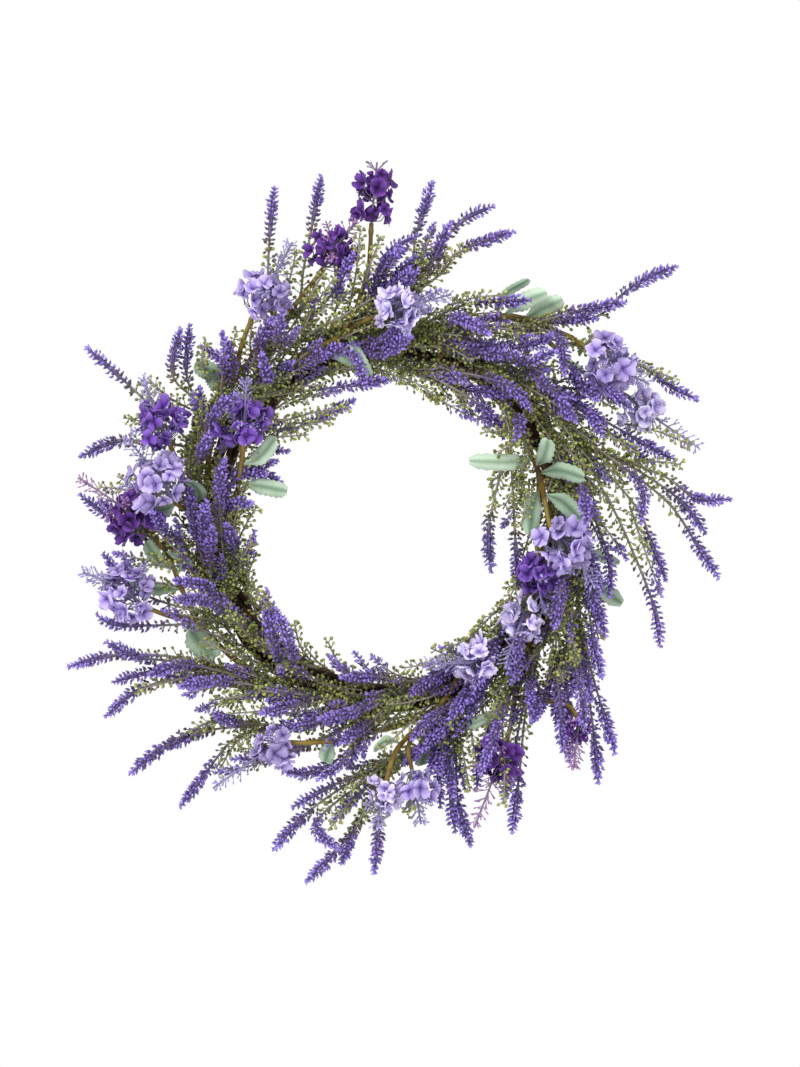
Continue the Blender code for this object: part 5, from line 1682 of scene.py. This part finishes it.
def makeBlossom(order, node):
    rng = random.Random(seeds["blossom"] + order)
    cloth, radius = blossoms[node][:2]
    inTiers = node in blossomTiers
    reader = PathReader(paths[node])
    length = min(reader.total - blossom["tipLeast"], blossom["length"] * radius)
    stemLow, stemHigh = blossom["stem"]
    if inTiers:
        length = blossomTiers[node][-1][0] + openHead["past"]
        stemLow = openHead["stemRadius"]
    tip = reader.total - length
    plan = SprigPlan()
    stations = np.linspace(0, reader.total, 9)
    radii = [stemLow if distance < length else stemHigh for distance in stations]
    plan.stem(reader, stations, radii, blossom["stemTint"], 0.3)
    points, facings, sizes, shades, kinds, spins = [], [], [], [], [], []
    for distance, facing, reach in floretPlaces(node, reader, rng):
        stray = blossom["lean"] * anyOffset(rng)
        way = unit(facing + (openHead["lean"] if inTiers else 1.0) * stray)
        size = rng.uniform(*blossom["size"]) * min(1.0, 0.55 + radius / 40)
        throat = reader.at(distance)[0] + (reach - blossom["throatShare"] * floret["radius"] * size) * facing
        points.append(throat)
        facings.append(way)
        sizes.append(size)
        shades.append(rng.random())
        kinds.append(rng.randrange(len(floretKinds)))
        spins.append(rng.uniform(0, fullTurn))
        root, along, _, _ = reader.at(max(0.9, distance - blossom["stalkDrop"] * radius))
        out, down = blossom["knee"]
        knee = 0.5 * (root + throat) + out * reach * facing - down * reach * along
        plan.wire([root, knee, throat - 0.3 * way], blossom["stalkRadius"], [0.0, 0.0, 0.2], 0.0)
    cluster = setPoints(node, points, {
        "size": ("FLOAT", sizes), "shade": ("FLOAT", shades),
        "spin": ("FLOAT", spins), "kind": ("INT", kinds),
    }, facings)
    if not inTiers:
        addTipSprigs(plan, reader, length, radius, rng)

    def tintOf(distance):
        return min(1.0, (distance - length) / tip + 0.2)

    def lengthOf(distance):
        longest, shorter = blossom["tipTwigs"]
        return longest * (1 - shorter * (distance - length) / tip)

    twigs, leastGap, most, forking = blossom["tipWhorls"]
    gap = max(leastGap, tip / most)
    addWhorls(plan, reader, length, reader.total - 2, tintOf, lengthOf, rng, twigs, gap, forking)
    finish = mauveTips if cloth == "darkPurple" else paleTips
    tipMesh = sprigMesh(plan, node + "_tip", lavender["stemSides"], finish, finish,
                        blossom["tipBud"], blossom["tipBerry"])
    petalsMesh = grown(cluster, floretsOn, {"Finish": petals[cloth]})
    name = "head_" + node.removeprefix("blossom_")
    return makePiece(name, [petalsMesh, tipMesh], node)


triangles += sum(makeBlossom(order, node) for order, node in enumerate(blossoms))
for made in floretKinds:
    bpy.data.objects.remove(made)
print("blossom heads made:", len(blossoms), "triangles", triangles)

leaf = {
    "steps": 24,  # rows along a leaf
    "teeth": 8,  # on each side
    "toothDepth": 0.22,
    "thickness": 0.5,
    "halfWidth": 0.54,  # of the width that the layout gives
    "leastHalf": 0.35,
    "crease": 0.36,  # how far the halves fold back from the rib
    "wave": 1.2,  # mm that an edge ripples
    "ripples": 9,
    "bluntFrom": 0.72,  # where a leaf starts to close towards its tip
    "stalk": 6.0,
    "overlong": 0.8,  # how far a leaf runs past its solid's tip
    "shade": (0.5, 0.95),
    "edgeTint": 0.16,  # paler edges, a darker rib (its vein line with painted shade in the crease) and painted shade on the underside
    "ribVeinAndShade": 0.42,
    "underPaintedShade": 0.15,
}


# A cloth leaf with cut teeth, a creased rib and a light wave, as a thin closed skin
def addLeaf(body, tint, path, width, rng, shade):
    reach = leaf["overlong"] * (path[-1] - path[-3])
    reader = PathReader(smoothPath([path[0], path[len(path) // 2], path[-1] + reach]))
    across = unit(np.cross(path[-1] - path[0], [0.0, -1.0, 0.0]))
    stalk = min(leaf["stalk"], 0.2 * reader.total)
    phase = rng.uniform(0, fullTurn)
    skins = ([], [])
    for step in range(-1, leaf["steps"] + 1):  # the first row closes the stalk
        share = max(0.0, step / leaf["steps"])
        centre, along, _, _ = reader.at(0.0 if step < 0 else stalk + (reader.total - stalk) * share)
        front = unit(np.cross(across, along))
        blunt = (1 - max(0.0, (share - leaf["bluntFrom"]) / 0.3) ** 2.4) ** 0.5
        full = 0.05 if step < 0 else min(1.0, 0.3 + 2.3 * share) * blunt
        tooth = 1 - leaf["toothDepth"] * ((share * leaf["teeth"]) % 1.0)
        half = max(leaf["leastHalf"], leaf["halfWidth"] * width * full * tooth)
        wave = leaf["wave"] * math.sin(phase + leaf["ripples"] * share) * full
        for skin, face in zip(skins, (0.5, -0.5)):
            row = []
            for place in (-1.0, -0.5, 0.0, 0.5, 1.0):
                fold = leaf["crease"] * half * abs(place) ** 0.8 - place * wave
                point = centre + place * half * across + (face * leaf["thickness"] - fold) * front
                vert = body.verts.new(toWorld([point])[0])
                # The tint pales the edges and puts painted shade on the rib in the crease and on the
                # underside
                vert[tint] = (shade + leaf["edgeTint"] * abs(place) - leaf["ribVeinAndShade"] * (place == 0)
                              - leaf["underPaintedShade"] * (face < 0))
                row.append(vert)
            skin.append(row)
    top, under = skins
    last = len(top[0]) - 1
    for low, high, lowUnder, highUnder in zip(top, top[1:], under, under[1:]):
        for here in range(last):
            body.faces.new((low[here], low[here + 1], high[here + 1], high[here]))
            body.faces.new((lowUnder[here], highUnder[here], highUnder[here + 1], lowUnder[here + 1]))
        body.faces.new((low[0], high[0], highUnder[0], lowUnder[0]))
        body.faces.new((low[last], lowUnder[last], highUnder[last], high[last]))
    for row, rowUnder in ((top[0], under[0]), (top[-1], under[-1])):
        for here in range(last):
            body.faces.new((row[here], rowUnder[here], rowUnder[here + 1], row[here + 1]))


tapedStem = {
    "sides": 8,
    "thinning": (0.2, 0.4),  # mm that a blossom's stem is thinner than the main one, and more at its end
    "swell": (0.8, 0.05, 1.7),  # of the full radius between joints: the least, the wave and its pace
    "joint": (11, 5),  # every so many points, from this one on, the tape is thick
}


def makeLeafyStem(order, node):
    rng = random.Random(seeds["leafy"] + order)
    _, ways, leaves = leafyStems[node]
    plan = SprigPlan()
    thinner, taper = tapedStem["thinning"]
    least, wave, pace = tapedStem["swell"]
    every, first = tapedStem["joint"]
    for chain in [node + ".trunk"] + [way + ".stem" for way in ways]:
        reader = PathReader(paths[chain])
        stations = reader.stations(3)
        radii = []
        for index, distance in enumerate(stations):
            radius = oliveRadius
            if chain.endswith(".stem"):
                radius = oliveRadius - thinner - taper * distance / reader.total
            swell = 1.0 if index % every == first else least + wave * math.sin(pace * distance)
            radii.append(radius * swell)
        plan.stem(reader, stations, radii, 0.5)
    stemsMesh = sprigMesh(plan, node, tapedStem["sides"], tape, tape)
    body = bmesh.new()
    tint = body.verts.layers.float.new("tint")
    for index, (_, width) in enumerate(leaves):
        addLeaf(body, tint, paths[f"{node}.leaf_{index}"], width, rng, rng.uniform(*leaf["shade"]))
    bmesh.ops.recalc_face_normals(body, faces=body.faces)
    leavesMesh = bpy.data.meshes.new(node + "_leaves")
    body.to_mesh(leavesMesh)
    body.free()
    leavesMesh.materials.append(sage)
    leavesMesh.shade_smooth()
    name = "leaves_" + node.removeprefix("leafy_stem_")
    return makePiece(name, [stemsMesh, leavesMesh], node)


triangles += sum(makeLeafyStem(order, node) for order, node in enumerate(leafyStems))
print("leafy stems made:", len(leafyStems), "triangles", triangles)

vine = {
    "strands": 3,  # fine strands twisted into each cane
    "strandRadius": 2.3,
    "strandOrbit": 2.5,
    "strandTurns": 9,
    "strandSides": 6,
    "swell": 0.12,  # how much a strand thickens, so many times round the ring
    "swells": 5,
    "knobs": 0.06,
    "steps": 160,
}


def makeCane(cane):
    rng = random.Random(seeds["cane"] + cane)
    plan = SprigPlan()
    for strand in range(vine["strands"]):
        points, radii = [], []
        phase = rng.uniform(0, fullTurn)
        for step in range(vine["steps"] + 1):
            angle = fullTurn * step / vine["steps"]
            _, outward, forward = ringFrame(angle)
            twist = phase + vine["strandTurns"] * angle + fullTurn * strand / vine["strands"]
            points.append(canePoint(cane, angle) + vine["strandOrbit"] * roundAbout(twist, outward, forward))
            swell = 1 + vine["swell"] * math.sin(vine["swells"] * angle + phase)
            radii.append(vine["strandRadius"] * (swell + vine["knobs"] * rng.random()))
        plan.wire(points, radii, 0.5)
    mesh = sprigMesh(plan, f"cane_{cane + 1}", vine["strandSides"], bark, bark)
    return makePiece(f"twisted_cane_{cane + 1}", [mesh], f"vine_cane_{cane + 1}")


triangles += sum(makeCane(cane) for cane in range(caneCount))
print("canes made:", caneCount, "triangles", triangles)

white = (1.0, 1.0, 1.0, 1.0)
studio = {
    "floorHeight": -0.75,
    "floorReach": 1.2,
    "skyStrength": 0.85,  # what lights the wreath; the camera sees a plain white sky
    "keyLight": ((-0.9, -1.6, 1.1), 26.0, 1.0),  # its place, power and size
    "fillLight": ((1.3, -1.4, 0.1), 8.0, 1.4),
    "cameraDistance": 2.4,
    "frameHeight": 0.779,  # metres of the wreath's plane that the picture's height covers
    "aim": (0.0088, -0.045, -0.1276),
}


def addLight(name):
    place, power, size = studio[name]
    light = bpy.data.lights.new(name, "AREA")
    light.energy = power
    light.size = size
    lamp = addObject(name, light)
    lamp.location = place
    lamp.rotation_euler = (Vector(studio["aim"]) - Vector(place)).to_track_quat("-Z", "Y").to_euler()


def makeStudio():
    reach, height = studio["floorReach"], studio["floorHeight"]
    corners = [(x * reach, y * reach, height) for x, y in ((-1, -1), (1, -1), (1, 1), (-1, 1))]
    floorMesh = bpy.data.meshes.new("studioFloor")
    floorMesh.from_pydata(corners, [], [(0, 1, 2, 3)])
    floor = addObject("studioFloor", floorMesh)
    pale, _, shader = newMaterial("paleFloor", 0.9)
    shader.inputs["Base Color"].default_value = white
    floorMesh.materials.append(pale)
    world = bpy.data.worlds.new("studioSky")
    world.use_nodes = True
    tree = world.node_tree
    setInputs(tree, tree.nodes["Background"], {"Color": white, "Strength": studio["skyStrength"]})
    seen = addNode(tree, "ShaderNodeBackground", {"Color": white, "Strength": 1.0})
    rays = addNode(tree, "ShaderNodeLightPath", {})
    choice = addNode(tree, "ShaderNodeMixShader", {
        "Fac": rays["Is Camera Ray"], 1: tree.nodes["Background"].outputs[0], 2: seen["Background"],
    })
    setInputs(tree, tree.nodes["World Output"], {"Surface": choice["Shader"]})
    bpy.context.scene.world = world
    addLight("keyLight")
    addLight("fillLight")
    bpy.context.scene.view_settings.view_transform = "Standard"


def makeCamera():
    lens = bpy.data.cameras.new("photoCamera")
    lens.sensor_fit = "VERTICAL"
    lens.angle = 2 * math.atan(0.5 * studio["frameHeight"] / studio["cameraDistance"])
    camera = addObject("photoCamera", lens)
    camera.location = Vector(studio["aim"]) + Vector((0, -studio["cameraDistance"], 0))
    camera.rotation_euler = (math.radians(90), 0, 0)
    bpy.context.scene.camera = camera


makeStudio()
makeCamera()
print("studio ready")
